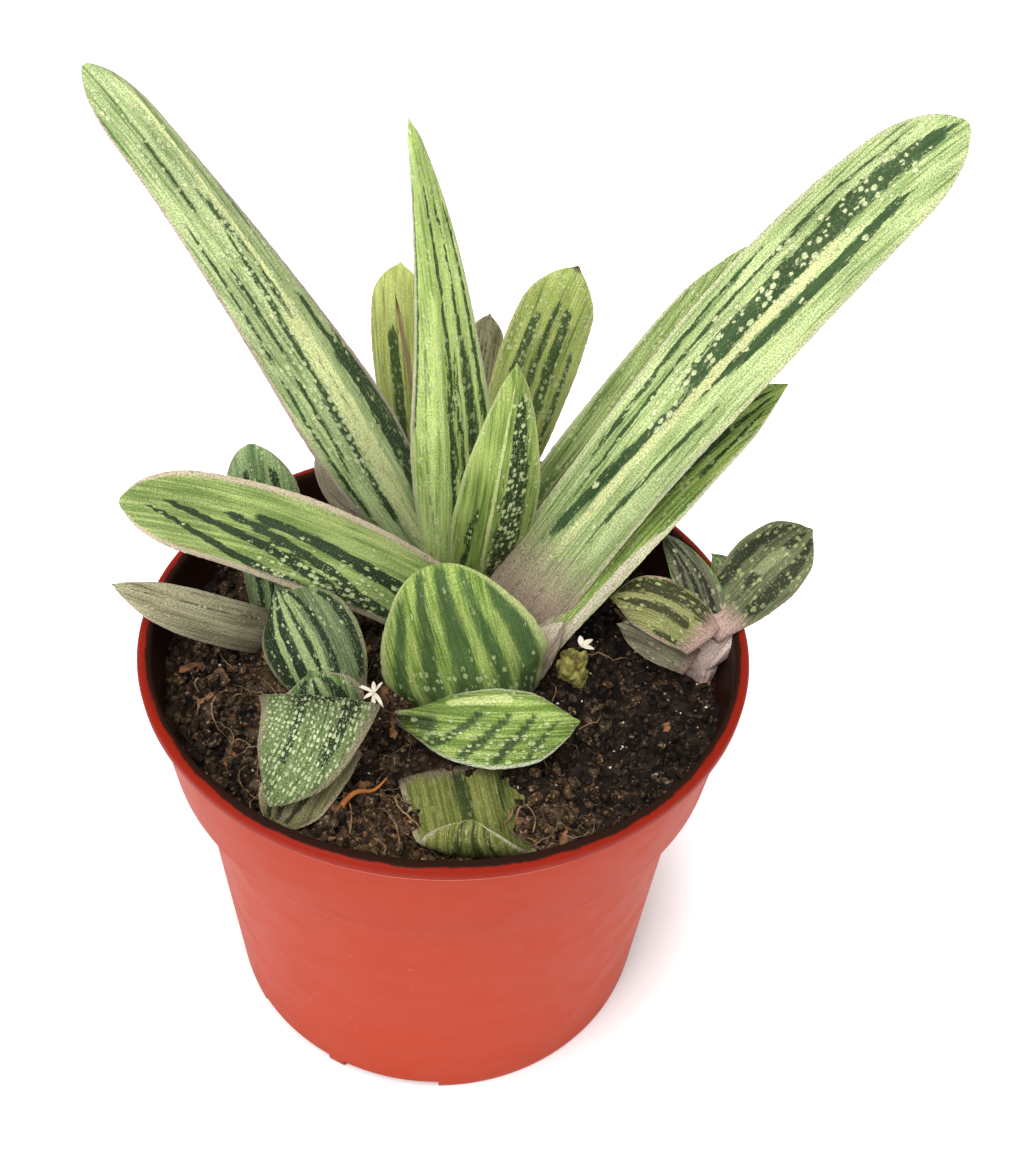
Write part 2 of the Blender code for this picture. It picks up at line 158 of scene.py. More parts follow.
def leafMaterial(name, tones, seed, dots=0.5, footEnd=0.12, mottle=0.5, marginWidth=0.05, brownTip=0.0,
                 tear=1.0, soft=1.0, footShade=0.62, grooveShade=0.7, fineDots=0.5, dotScale=1.0,
                 scatterDots=0.9, specks=0.16, **ownTones):
    colours = {key: shade(*ownTones.get(key, tone)) for key, tone in zip(toneNames, leafTones[tones])}
    material, tree, shader = startMaterial(name)
    skin = put(tree, "UVMap", uv_map="skin").outputs[0]  # millimetres across and along
    place, along = attribute(tree, "place"), attribute(tree, "along")
    shift = (seed * 7.3, seed * 3.1, seed)
    streak, fineStreak, torn, grain, blotch, drift = (
        cloud(tree, stretched(tree, skin, (across, down, 1), shift), 1.0, *rest)
        for across, down, *rest in leafClouds.values())

    # the fresh green lies where the relief sinks, so the streaks are partly the leaf's own colour and partly
    # painted shade
    lines = calc(tree, "MULTIPLY_ADD", streak, 0.55, times(tree, fineStreak, 0.45))
    ground = smooth(tree, lines, 0.38, 0.62)
    patchy = smooth(tree, blotch, 0.35, 0.65, -0.2, 0.2)
    groundShare = calc(tree, "ADD", times(tree, ground, mottle + 0.3), patchy, clamp=True)
    colour = blendColour(tree, groundShare, colours["pale"], colours["fresh"])
    # painted shade: a darker tone laid along the relief's grooves
    grooveShading = smooth(tree, calc(tree, "MULTIPLY_ADD", fineStreak, 0.7, times(tree, streak, 0.3)), 0.54, 0.66)
    grooveShadeTone = [0.35 * f + 0.45 * d for f, d in zip(colours["fresh"], colours["dark"])][:3] + [1.0]
    colour = blendColour(tree, times(tree, grooveShading, grooveShade), colour, grooveShadeTone)

    wear = swayed(tree, torn, 1.9 * tear, swayed(tree, grain, 0.7 * tear))  # tears the stripes' edges
    # ridge bands: pale keels and margins of the leaf's own, and partly painted highlight along ridges and on
    # lit facets
    ridged = calc(tree, "MULTIPLY_ADD", wear, 0.7, attribute(tree, "pale"))
    lightness = smooth(tree, ridged, 0.30, 0.62, 0.0, 0.9)
    darkness = smooth(tree, calc(tree, "ADD", attribute(tree, "stripe"), wear), 0.48 - 0.12 * soft,
                      0.48 + 0.12 * soft)
    deeper = tuple(leafFinish["deeper"] * c for c in colours["dark"][:3]) + (1.0,)
    darkTone = blendColour(tree, smooth(tree, blotch, 0.35, 0.65), colours["dark"], deeper)
    colour = blendColour(tree, times(tree, darkness, 0.94), colour, darkTone)
    colour = blendColour(tree, lightness, colour, colours["ridge"])

    crowd = swayed(tree, torn, 1.6, attribute(tree, "dots"))
    spots = []
    for scale, least, spread in leafDots:
        cells = put(tree, "TexVoronoi", {"Vector": stretched(tree, skin, scale, shift), "Scale": dotScale,
                                         "Randomness": scatterDots}, voronoi_dimensions="2D")
        chances = put(tree, "SeparateColor", {"Color": cells.outputs["Color"]}).outputs
        size = calc(tree, "MULTIPLY_ADD", chances[0], spread, least)
        wobble = swayed(tree, grain, 0.5, cells.outputs["Distance"])
        spot = smooth(tree, calc(tree, "SUBTRACT", wobble, size), 0.08, -0.06)
        kept = smooth(tree, calc(tree, "SUBTRACT", crowd, chances[1]), 0.0, 0.1)
        spots.append(times(tree, spot, kept))
    spot = times(tree, calc(tree, "MAXIMUM", spots[0], times(tree, spots[1], fineDots)), dots)
    colour = blendColour(tree, spot, colour, colours["dots"])
    fineSkin = stretched(tree, skin, leafFinish["pores"], shift)
    pores = put(tree, "TexVoronoi", {"Vector": fineSkin, "Scale": 1.0}, voronoi_dimensions="2D")
    speck = smooth(tree, pores.outputs["Distance"], 0.34, 0.12)
    colour = blendColour(tree, times(tree, speck, specks), colour, colours["dots"])

    edge = smooth(tree, swayed(tree, grain, 0.06, calc(tree, "ABSOLUTE", place)), 1.0 - marginWidth * 2.2,
                  1.0 - marginWidth * 0.8)
    colour = blendColour(tree, edge, colour, colours["margin"])
    foot = smooth(tree, swayed(tree, torn, 0.16, along), footEnd, footEnd * 0.3)
    colour = blendColour(tree, foot, colour, colours["foot"])
    if brownTip:
        tip = smooth(tree, swayed(tree, grain, 0.02, along), 1.0 - brownTip, 1.0)
        colour = blendColour(tree, tip, colour, shade(*leafFinish["brown"]))
    light = smooth(tree, along, 0.0, 0.38, footShade, 1.0)  # darker at the foot
    light = times(tree, light, smooth(tree, drift, 0.3, 0.7, 0.88, 1.1))
    light = times(tree, light, smooth(tree, grain, 0.25, 0.75, 0.91, 1.09))
    colour = put(tree, "HueSaturation", {"Value": light, "Color": colour}).outputs[0]

    pitted = calc(tree, "MULTIPLY_ADD", speck, 0.35, times(tree, lines, -1.1))
    height = calc(tree, "MULTIPLY_ADD", spot, 0.55, pitted)
    finishMaterial(tree, shader, colour, height, leafFinish["relief"], leafFinish["depth"],
                   calc(tree, "MULTIPLY_ADD", grain, 0.25, 0.34), leafFinish["specular"])
    shader.inputs["Subsurface Weight"].default_value = leafFinish["glow"]
    shader.inputs["Subsurface Scale"].default_value = leafFinish["glowReach"] * mm
    return material


# the inside tone is painted shade on the inner wall below the rim
potPaint = dict(plastic=((168, 53, 24), (174, 58, 27)), scuff=(212, 112, 92), dust=(220, 136, 116),
                collar=(150, 40, 16), lip=(138, 30, 12), shine=(236, 134, 108), inside=(104, 26, 16),
                innerDark=(40, 20, 14))
potLines = dict(  # heights and reaches in metres where one tone gives way to the next
    collar=(0.0700, 0.0712), lip=(0.0924, 0.0926), shineFoot=(0.0920, 0.0922), shineTop=(0.0927, 0.0925),
    inside=(0.0948, 0.0925), innerDark=(0.0953, 0.0944), front=(-0.030, -0.052), edge=(0.0586, 0.0581),
    edgeFoot=(0.0920, 0.0930))


def potMaterial():
    material, tree, shader = startMaterial("potPlastic")
    where = put(tree, "TexCoord").outputs["Object"]
    spot = put(tree, "SeparateXYZ", {"Vector": where}).outputs
    height = spot[2]
    paint = {key: shade(*tone) for key, tone in potPaint.items() if key != "plastic"}
    broad = cloud(tree, stretched(tree, where, (18, 18, 26)), 1.0, 3.0, 0.5)
    scuff = cloud(tree, stretched(tree, where, (90, 90, 160)), 1.0, 4.0, 0.6, 0.4)
    speck = cloud(tree, where, 620.0, 2.0, 0.5)
    shine = times(tree, smooth(tree, height, *potLines["shineFoot"]),
                  smooth(tree, height, *potLines["shineTop"]))
    inner = attribute(tree, "inner")
    reach = fromAxis(tree, where)
    # the inner wall is painted near-black below a ragged line just under the rim, and so is the inner edge of
    # the lip's top
    innerDarkLine = swayed(tree, cloud(tree, where, 190.0, 4.0, 0.65), 0.003, height)
    ragged = swayed(tree, cloud(tree, where, 260.0, 4.0, 0.65), 0.0012, reach)
    nearFront = smooth(tree, spot[1], *potLines["front"], 0.0, 0.0009)  # the dark edge is wider there
    innerEdge = times(tree, smooth(tree, calc(tree, "SUBTRACT", ragged, nearFront), *potLines["edge"]),
                      smooth(tree, height, *potLines["edgeFoot"]))
    innerDark = times(tree, inner, smooth(tree, innerDarkLine, *potLines["innerDark"]))
    colour = blendColour(tree, broad, *(shade(*tone) for tone in potPaint["plastic"]))
    for key, share in (("scuff", smooth(tree, scuff, 0.58, 0.74, 0.0, 0.07)),
                       ("dust", smooth(tree, speck, 0.70, 0.76, 0.0, 0.16)),
                       ("collar", smooth(tree, height, *potLines["collar"], 0.0, 0.28)),
                       ("lip", smooth(tree, height, *potLines["lip"])), ("shine", times(tree, shine, 0.8)),
                       # painted shade: the inner wall darker below the rim
                       ("inside", times(tree, inner, smooth(tree, height, *potLines["inside"]))),
                       ("innerDark", calc(tree, "MAXIMUM", innerDark, innerEdge))):
        colour = blendColour(tree, share, colour, paint[key])
    finishMaterial(tree, shader, colour, calc(tree, "ADD", speck, scuff), 0.10, 0.2,
                   smooth(tree, scuff, 0.35, 0.75, 0.46, 0.56), 0.08)
    return material


soilTones = dict(  # a dark and a warm tone for each kind of bit; the warm one lies on raised parts and the dark one in hollows, partly painted highlight and painted shade
    earth=((15, 12, 10), (46, 37, 29)), crumb=((17, 13, 11), (58, 46, 37)),
    clod=((32, 25, 19), (100, 82, 64)), coir=((28, 21, 16), (98, 76, 54)))
soilFlecks = dict(brown=(88, 66, 46), grit=(150, 120, 92), lighter=2.1)


def soilMaterial(name, tones, warmth=0.5, scale=260.0):
    dark, warm = soilTones[tones]
    material, tree, shader = startMaterial(name)
    where = put(tree, "TexCoord").outputs["Object"]
    x = put(tree, "SeparateXYZ", {"Vector": where}).outputs[0]
    patches = cloud(tree, where, scale, 4.0, 0.65)
    broad = cloud(tree, where, scale * 0.2, 2.0, 0.5)
    # the warm tone follows the bump's raised parts and the dark tone its hollows: partly the soil's own
    # colour, partly painted highlight and painted shade
    colour = blendColour(tree, smooth(tree, patches, 0.35, 0.7), shade(*dark), shade(*warm))
    lighter = smooth(tree, cloud(tree, where, scale * 2.2, 3.0, 0.6), 0.55, 0.72, 0.0, 0.75)
    lightTone = shade(*(min(255, soilFlecks["lighter"] * tone) for tone in warm))
    colour = blendColour(tree, lighter, colour, lightTone)
    side = smooth(tree, x, 0.020, -0.015)  # browner towards -X
    browner = times(tree, times(tree, side, smooth(tree, broad, 0.45, 0.65)), warmth)
    colour = blendColour(tree, browner, colour, shade(*soilFlecks["brown"]))
    grit = smooth(tree, cloud(tree, where, scale * 3.0, 2.0, 0.6), 0.66, 0.72, 0.0, 0.5)
    colour = blendColour(tree, grit, colour, shade(*soilFlecks["grit"]))
    finishMaterial(tree, shader, colour, patches, 1.0, 1.3, 0.9, 0.1)
    return material


def mottledMaterial(name, first, second, scale=400.0, roughness=0.7, bumpDepth=0.3):
    material, tree, shader = startMaterial(name)
    patches = cloud(tree, put(tree, "TexCoord").outputs["Object"], scale, 4.0, 0.6)
    colour = blendColour(tree, smooth(tree, patches, 0.35, 0.65), shade(*first), shade(*second))
    finishMaterial(tree, shader, colour, patches, 0.6, bumpDepth, roughness)
    return material


def addToScene(name, data):
    thing = bpy.data.objects.new(name, data)
    bpy.context.scene.collection.objects.link(thing)
    return thing


def addPiece(name, body, material, replaces=(), smoothShade=True):
    for face in body.faces:
        face.smooth = smoothShade
    mesh = bpy.data.meshes.new(name)
    body.to_mesh(mesh)
    body.free()
    piece = addToScene(name, mesh)
    mesh.materials.append(material)
    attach(piece, "root")
    if replaces:
        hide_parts(*replaces)
    return piece


usualLeaf = dict(  # what a leaf has where its own lines say nothing else
    twist=0, sunk=0, keel=(0, 0), sharp=1.8, cup=0, mucro=0.6, wave=0.35, pleats=(3.2, 0.35), parallel=0.5,
    ground=0, taper=0.25, bands=(), ridges=(), dots=(0.3, ()))


def unit(vector):
    return vector / np.linalg.norm(vector)


def leafPoint(leaf, along, angle, seed):
    base, mid, tip = np.array(leaf["rib"], float)
    control = 2.0 * mid - 0.5 * (base + tip)
    spot = (1 - along) ** 2 * base + 2 * along * (1 - along) * control + along ** 2 * tip
    tangent = unit(2 * (1 - along) * (control - base) + 2 * along * (tip - control))
    face = np.array(leaf["face"], float)
    normal = unit(face - face.dot(tangent) * tangent)
    turn = math.radians(leaf["twist"]) * (along - 0.5)
    side = np.cross(tangent, normal)
    normal, side = (math.cos(turn) * normal + math.sin(turn) * side,
                    math.cos(turn) * side - math.sin(turn) * normal)
    stations = np.linspace(0.0, 1.0, len(leaf["widths"]))
    half = 0.5 * float(np.interp(along, stations, leaf["widths"]))
    blur = 0.5 * float(np.interp(min(1.0, along + 0.07), stations, leaf["widths"])
                       + np.interp(max(0.0, along - 0.07), stations, leaf["widths"]))
    half = 0.5 * half + 0.25 * blur
    start, power = leaf["close"]
    closing = 1.0
    if along > start:
        closing = max(0.0, 1.0 - ((along - start) / (1.0 - start)) ** 2) ** power
    taper = closing * (1.0 - 0.3 * along)
    across = -math.cos(angle)
    keel = leaf["keel"][0] * (1 - along) + leaf["keel"][1] * along
    if math.sin(angle) > 0:
        place = keel + (1 - keel) * across if across > 0 else keel + (1 + keel) * across
        crown = (across * across + 0.004) ** (0.5 * leaf["sharp"])
        rise = leaf["front"] * taper * max(0.0, 1 - crown) ** 0.75
    else:
        place = across
        rise = -leaf["back"] * taper * max(0.0, 1 - abs(across) ** 2.2) ** 0.75
    wave = noise.noise(Vector((along * 5.0, place * 0.6, seed))) * leaf["wave"] * closing
    folds, depth = leaf["pleats"]
    depth *= closing * (1.0 - abs(place) ** 6)  # fades at the edge
    wave += depth * noise.noise(Vector((place * folds, along * 1.6, seed * 5.0)))
    wave += 0.4 * depth * noise.noise(Vector((place * folds * 2.6, along * 3.0, seed * 9.0)))
    ragged = 1.0 + 0.016 * noise.noise(Vector((along * 70.0, math.copysign(3.0, place), seed)))
    reach = half * closing
    rise -= leaf["cup"] * reach * place ** 2
    point = spot + side * place * reach * ragged + normal * (rise + wave)
    point += tangent * leaf["mucro"] * max(0.0, (along - 0.985) / 0.015) ** 2
    point[2] -= leaf["sunk"] * max(0.0, 1.0 - along / 0.05)  # the foot reaches the soil
    return point, place, half, closing


def share(value):
    return min(1.0, max(0.0, value))


def bandStrength(bands, place, along, taper=0.0):
    # each band: half width, strength and the points (along, place) of its path
    total = 0.0
    for width, strength, *path in bands:
        start, end = path[0][0], path[-1][0]
        centre = float(np.interp(along, [p[0] for p in path], [p[1] for p in path]))
        fade = share((along - start) / 0.06 + 0.5) * share((end - along) / 0.06 + 0.5)
        narrowed = width * (1.0 - taper * share((along - start) / (end - start)))
        shape = max(0.0, 1.5 - abs(place - centre) / narrowed)
        total = max(total, strength * fade * min(1.0, shape))
    return min(1.0, total)


leafMesh = dict(  # rings go by the leaf's length in millimetres
    ringsPerMm=1.7, fewestRings=50, mostRings=150, girth=60, longGirth=80, longFrom=60,
    quickRingsPerMm=0.8, quickGirth=32)


def growLeaf(name, leaf, material, seed):
    length = np.linalg.norm(np.subtract(leaf["rib"][2], leaf["rib"][0]))
    rings = length * leafMesh["ringsPerMm" if fine else "quickRingsPerMm"]
    rings = int(min(leafMesh["mostRings"], max(leafMesh["fewestRings"], rings)))
    girth = leafMesh["quickGirth"]
    if fine:
        girth = leafMesh["longGirth" if length > leafMesh["longFrom"] else "girth"]
    body = bmesh.new()
    bmesh.ops.create_grid(body, x_segments=girth, y_segments=rings, size=1.0)
    skin = body.loops.layers.uv.verify()
    layers = {key: body.verts.layers.float.new(key) for key in ("place", "along", "stripe", "dots", "pale")}
    where = {}
    dotted, dotBands = leaf["dots"]
    for vert in body.verts:
        angle = math.pi * (vert.co.x + 1.0)
        along = 1.0 - (1.0 - 0.5 * (vert.co.y + 1.0)) ** 1.5
        point, place, half, closing = leafPoint(leaf, along, angle % (2 * math.pi), seed)
        where[vert] = (place * half * closing, along * length)
        lane = place * closing ** leaf["parallel"]  # stripes run side by side into the margin
        vert[layers["place"]] = place
        vert[layers["along"]] = along
        backward = math.sin(angle) < -0.01
        ground = leaf["ground"] + (0.12 if backward else 0.0)
        painted = leaf.get("underBands", leaf["bands"]) if backward else leaf["bands"]
        vert[layers["stripe"]] = min(1.0, ground + bandStrength(painted, lane, along, leaf["taper"]))
        vert[layers["dots"]] = min(1.0, dotted + bandStrength(dotBands, lane, along))
        vert[layers["pale"]] = bandStrength(leaf["ridges"], place, along)
        vert.co = Vector(point) * mm
    for face in body.faces:
        for loop in face.loops:
            loop[skin].uv = where[loop.vert]
    bmesh.ops.remove_doubles(body, verts=body.verts, dist=0.00001)
    bmesh.ops.holes_fill(body, edges=[e for e in body.edges if e.is_boundary], sides=0)
    bmesh.ops.recalc_face_normals(body, faces=body.faces)
    piece = addPiece(name, body, material, (leaf["node"],))
    piece.data.uv_layers[0].name = "skin"


leaves = {
    "roundFrontLeaf": dict(
        node="leaf_round_front", rib=((6, -12, 86), (1.7, -10, 99), (-3.2, -3.5, 113)),
        face=(-0.05, -0.9, 0.35), sunk=3, widths=(27, 34, 31, 24.5, 22), close=(0.6, 0.5), front=4.6,
        back=2.4, sharp=2.4, cup=0.22, mucro=0, pleats=(2.4, 0.45), parallel=0.9, taper=0.35,
        tones="bright", look=dict(dots=0.6, footEnd=0.03, mottle=0.7, tear=0.8, soft=3.4, footShade=0.85,
            fineDots=0.1, specks=0.06, grooveShade=0.35, dark=(74, 102, 56), ridge=(168, 186, 104)),
        bands=[(0.12, 0.85, (0, -0.8), (0.86, -0.66)), (0.13, 1, (0, -0.42), (0.97, -0.26)),
            (0.17, 1, (0, 0), (0.98, 0.12)), (0.1, 0.9, (0, 0.4), (0.95, 0.48)),
            (0.15, 1, (0, 0.76), (0.84, 0.84))],
        ridges=[(0.04, 0.5, (-0.1, -0.61), (0.8, -0.55)), (0.05, 0.46, (-0.1, -0.21), (0.8, -0.08)),
            (0.04, 0.5, (-0.1, 0.22), (0.8, 0.34)), (0.05, 0.46, (-0.1, 0.57), (0.7, 0.7))],
        dots=(0, [(0.9, 0.4, (-0.1, 0), (0.4, 0))])),
    "lowFrontLeaf": dict(
        node="leaf_front_low", rib=((-8.5, -22, 90.5), (9, -25.5, 92.5), (24.5, -25, 94)),
        face=(-0.1, -0.5, 0.85), widths=(1.6, 12.6, 15.8, 13.6, 7), close=(0.7, 0.55), front=3.4, back=1.8,
        keel=(-0.6, -0.5), sharp=1.5, cup=0.12, mucro=0.8, pleats=(2.6, 0.35),
        tones="bright", look=dict(dots=0.7, footEnd=0.02, mottle=0.9, tear=0.5, soft=2.6, grooveShade=0.3,
            fineDots=0.2, specks=0.1, dark=(62, 84, 46), margin=(214, 220, 186), footShade=0.55),
        bands=[(0.5, 0.75, (-0.1, 0.1), (0.22, 0.1)),
            (0.16, 0.9, (0.16, 0.9), (0.3, 0.3), (0.46, -0.35)),
            (0.15, 1, (0.32, 0.9), (0.46, 0.35), (0.62, -0.3)),
            (0.15, 1, (0.5, 0.9), (0.62, 0.4), (0.76, -0.25)),
            (0.13, 0.8, (0.68, 0.85), (0.78, 0.45), (0.9, -0.1))],
        ridges=[(0.1, 1, (0.25, -0.62), (0.62, -0.66))],
        dots=(0.15, [(0.5, 0.45, (0.1, 0.6), (0.8, 0.6))])),
    "buriedFrontLeaf": dict(
        node="leaf_front_buried", rib=((3.4, -28, 83.4), (6.4, -44.6, 84.2), (5.6, -47.6, 92.2)),
        face=(0, 0.7, 0.65), twist=-28, widths=(24, 23, 22, 19.5, 17), close=(0.72, 0.45), front=1.4,
        back=3.4, sharp=2, cup=0.06, mucro=0.8, pleats=(2, 0.4), parallel=0.8,
        tones="olive", look=dict(dots=0.25, footEnd=0.05, mottle=0.9, grooveShade=0.2, soft=2.4,
            pale=(146, 148, 80), fresh=(100, 108, 50), dark=(56, 70, 34), margin=(168, 160, 128),
            footShade=0.8),
        bands=[(0.13, 1, (0, 0.1), (0.5, 0.08)), (0.08, 0.6, (0, -0.6), (0.5, -0.4))],
        underBands=[(0.07, 0.9, (0.6, -0.45), (1, -0.35)), (0.08, 0.9, (0.6, -0.05), (1, -0.05)),
            (0.07, 0.9, (0.6, 0.35), (1, 0.3))],
        ridges=[(0.9, 0.32, (0.86, 0), (1.05, 0))]),
    "bigRightLeaf": dict(
        node="leaf_big_right", rib=((13, 8.5, 88), (50.5, 12, 155), (80.5, 14, 193)),
        face=(-0.35, -0.8, 0.45), widths=(18, 17.5, 19.6, 17.8, 13), close=(0.84, 0.5), front=1.9, back=2.4,
        keel=(0.2, 0), cup=-0.12, pleats=(5, 0.6),
        tones="pale", look=dict(dots=0.9, footEnd=0.15, fineDots=0.15, dotScale=0.85, dark=(44, 76, 42),
            foot=(190, 168, 146), footShade=0.8),
        bands=[(0.24, 1, (0.4, -0.06), (0.62, -0.1), (0.8, -0.22), (0.97, -0.18)),
            (0.12, 1, (0.13, -0.42), (0.3, -0.1), (0.5, 0.34), (0.68, 0.42), (0.84, 0.36)),
            (0.05, 0.9, (0.2, -0.52), (0.7, -0.55)), (0.04, 0.9, (0.25, -0.75), (0.62, -0.78)),
            (0.04, 0.8, (0.66, -0.62), (0.92, -0.6)), (0.06, 0.8, (0.16, 0.35), (0.4, 0.6))],
        ridges=[(0.09, 0.85, (0.1, -0.1), (0.35, 0.12), (0.62, 0.16), (0.72, 0.12))],
        dots=(0.12, [(0.3, 0.5, (0.3, -0.2), (0.6, -0.15), (0.9, -0.2))])),
    "bigLeftLeaf": dict(
        node="leaf_big_left", rib=((2.5, 9.5, 87.5), (-29.5, 3.2, 112.4), (-58.5, -4, 126.3)),
        face=(0.05, -0.75, 0.6), widths=(15.2, 17.3, 17.8, 15.8, 12.6), close=(0.8, 0.5), front=2.8, back=2,
        keel=(-0.35, -0.35), sharp=1.7, taper=0.6,
        tones="bright", look=dict(dots=0.9, footEnd=0, mottle=0.75, marginWidth=0.085, grooveShade=0.2,
            tear=0.5, dark=(38, 58, 42), margin=(206, 190, 162), footShade=0.85, ridge=(214, 204, 168),
            pale=(176, 192, 118), fresh=(120, 144, 76)),
        bands=[(0.21, 1, (-0.1, -0.3), (0.12, -0.14), (0.29, 0.02), (0.45, 0.14), (0.64, 0.26)),
            (0.16, 1, (0, -0.95), (0.29, -0.62), (0.38, -0.34), (0.55, -0.08), (0.72, 0.18)),
            (0.15, 1, (0.22, -0.95), (0.43, -0.56), (0.57, -0.33), (0.74, -0.12), (0.89, 0.18)),
            (0.12, 1, (0.35, -1), (0.51, -0.86), (0.65, -0.72), (0.8, -0.42), (0.94, 0)),
            (0.5, 0.36, (0, -0.8), (0.6, -0.9))],
        ridges=[(0.1, 0.6, (0, 0.96), (0.9, 1))],
        dots=(0.05, [(0.5, 0.6, (-0.1, -0.3), (0.25, -0.5), (0.6, -0.9))])),
    "smallCentreLeaf": dict(
        node="leaf_small_centre", rib=((6.5, 18, 89), (9.6, 8.5, 125), (11, 6, 151)),
        face=(0.1, -0.9, 0.3), sunk=6, widths=(10, 16.8, 15, 9.4, 2), close=(0.9, 0.8), front=3.8, back=1.4,
        keel=(-0.15, -0.2), sharp=1.1,
        tones="bright", look=dict(dots=1, footEnd=0.02, mottle=0.7, tear=1.2, fineDots=0.3,
            dark=(28, 50, 26), footShade=0.7),
        bands=[(0.32, 1, (0, 0.34), (0.88, 0.36)), (0.1, 0.7, (0.1, -0.7), (0.4, -0.5))],
        ridges=[(0.05, 1, (0, -0.15), (0.95, -0.2))],
        dots=(0.1, [(0.4, 0.5, (0, 0.4), (0.9, 0.4))])),
    "tallCentreLeaf": dict(
        node="leaf_tall_centre", rib=((1, 24, 88), (-1.5, 16, 150), (-8, 12, 191)),
        face=(0.05, -0.95, 0.2), sunk=6, widths=(13, 17.4, 11.4, 6.6, 1.2), close=(0.94, 0.8), front=5,
        back=1.6, keel=(-0.1, -0.5), sharp=1.05, pleats=(5, 0.9),
        tones="pale", look=dict(footEnd=0.02, mottle=0.35, grooveShade=0.75, fineDots=0.3, pale=(204, 226, 136),
            fresh=(138, 170, 78), ridge=(214, 234, 146), footShade=0.9),
        # the wide weak band at place 0.5 is painted shade over one half of the fold, and the wide ridge band
        # at place -0.5 to -0.65 painted light over the other half
        bands=[(0.45, 0.62, (-0.1, 0.5), (0.5, 0.42)), (0.06, 1, (0, 0.06), (0.88, -0.1)),
            (0.06, 1, (0.05, 0.55), (0.85, 0.35)), (0.05, 0.9, (0, 0.88), (0.8, 0.8)),
            (0.05, 0.9, (0.3, -0.92), (0.85, -0.9)), (0.04, 0.8, (0.1, -0.55), (0.5, -0.7))],
        ridges=[(0.05, 1, (0, -0.1), (0.5, -0.3), (0.62, -0.36)),
            (0.26, 0.46, (-0.1, -0.5), (0.55, -0.65)), (0.05, 0.9, (0, 0.38), (0.62, 0.3)),
            (0.04, 0.8, (0, 0.72), (0.5, 0.66))],
        dots=(0.35, [])),
    "upperLeftLeaf": dict(
        node="leaf_upper_left", rib=((-3.5, 26, 89), (-33.8, 23, 151), (-61, 26, 192)),
        face=(0.35, -0.85, 0.35), sunk=6, widths=(12, 19.2, 14.6, 10.4, 8.4), close=(0.86, 0.5), front=4.6,
        back=1.8, keel=(0.1, 0.7), sharp=1.08, pleats=(5, 0.6),
        tones="pale", look=dict(dots=0.7, footEnd=0.02, mottle=0.55, fineDots=0.3, grooveShade=0.8,
            footShade=0.82, pale=(196, 212, 150), fresh=(124, 150, 92), margin=(196, 178, 160)),
        bands=[(0.07, 1, (0.1, -0.34), (0.5, 0.02), (0.72, 0.3)), (0.05, 0.9, (0.3, 0.2), (0.7, 0.44)),
            (0.3, 0.75, (-0.1, 0.62), (0.42, 0.84)), (0.08, 0.9, (0.05, 0.48), (0.5, 0.75)),
            (0.04, 0.9, (0.2, -0.56), (0.9, -0.05)), (0.04, 0.9, (0.1, -0.82), (0.7, -0.62))],
        ridges=[(0.05, 1, (0, 0.1), (0.5, 0.4), (0.95, 0.66)), (0.14, 0.7, (0, -0.12), (0.5, 0.2))],
        dots=(0.3, [(0.2, 0.45, (0.15, -0.3), (0.8, 0.2))])),
    "underRightLeaf": dict(
        node="leaf_under_right", rib=((18, 4, 87.5), (40.2, 13, 120.5), (62.5, 19, 140.5)),
        face=(-0.3, -0.6, 0.7), widths=(11, 16, 16.5, 13, 5), close=(0.8, 0.6), front=1.8, back=3.2,
        keel=(0.3, 0.3), sharp=1.7, cup=-0.06,
        tones="bright", look=dict(mottle=0.8, ridge=(232, 220, 196), tear=0.5, foot=(214, 194, 172),
            margin=(206, 206, 164), footShade=0.9),
        bands=[(0.12, 0.9, (0.1, -0.5), (0.5, -0.2), (0.95, -0.1)),
            (0.1, 0.9, (0.3, 0.25), (0.95, 0.3)), (0.07, 0.8, (0.6, 0.65), (0.9, 0.6))],
        ridges=[(0.2, 1, (-0.1, 0.86), (0.3, 0.92), (0.52, 1.2))]),
    "behindRightLeaf": dict(
        node="leaf_behind_right", rib=((17, 31, 90), (37, 28, 131), (54, 35, 160)),
        face=(-0.3, -0.85, 0.4), sunk=6, widths=(15, 17, 15, 12, 5), close=(0.8, 0.6), front=1.6, back=2.2,
        pleats=(6, 0.7),
        tones="pale", look=dict(footEnd=0.08, mottle=0.7, grooveShade=0.9, fineDots=0.3, pale=(182, 198, 128),
            fresh=(112, 136, 70)),
        bands=[(0.06, 0.9, (0.1, -0.2), (0.9, -0.2)), (0.06, 0.9, (0.1, 0.2), (0.9, 0.15)),
            (0.06, 0.9, (0.1, 0.6), (0.8, 0.5))]),
    "backRightLeaf": dict(
        node="leaf_back_right", rib=((10, 47, 88), (17.3, 44.5, 127.5), (24, 46, 149)),
        face=(0, -0.9, 0.4), sunk=6, widths=(10, 15.5, 17.2, 15.5, 9), close=(0.76, 0.6), front=2.2,
        back=1.8,
        tones="bright", look=dict(dots=0.6, brownTip=0.03, soft=1.8, pale=(190, 202, 116),
            fresh=(140, 158, 78), dark=(62, 88, 48), margin=(190, 190, 124)),
        bands=[(0.14, 0.9, (0, -0.55), (0.72, -0.45)), (0.09, 0.9, (0.2, -0.1), (0.8, -0.05)),
            (0.16, 0.9, (0, 0.32), (0.78, 0.28)), (0.08, 0.8, (0.1, 0.75), (0.6, 0.7))],
        dots=(0.4, [])),
    "backLeftLeaf": dict(
        node="leaf_back_left", rib=((-7, 45, 88), (-10.5, 44, 130), (-11, 46, 148.5)),
        face=(-0.1, -0.9, 0.4), sunk=6, widths=(9, 12, 13, 11.5, 6), close=(0.76, 0.6), front=2.4, back=1.6,
        sharp=1.6,
        tones="bright", look=dict(dots=0.4, soft=1.8, pale=(204, 212, 124), fresh=(164, 176, 88),
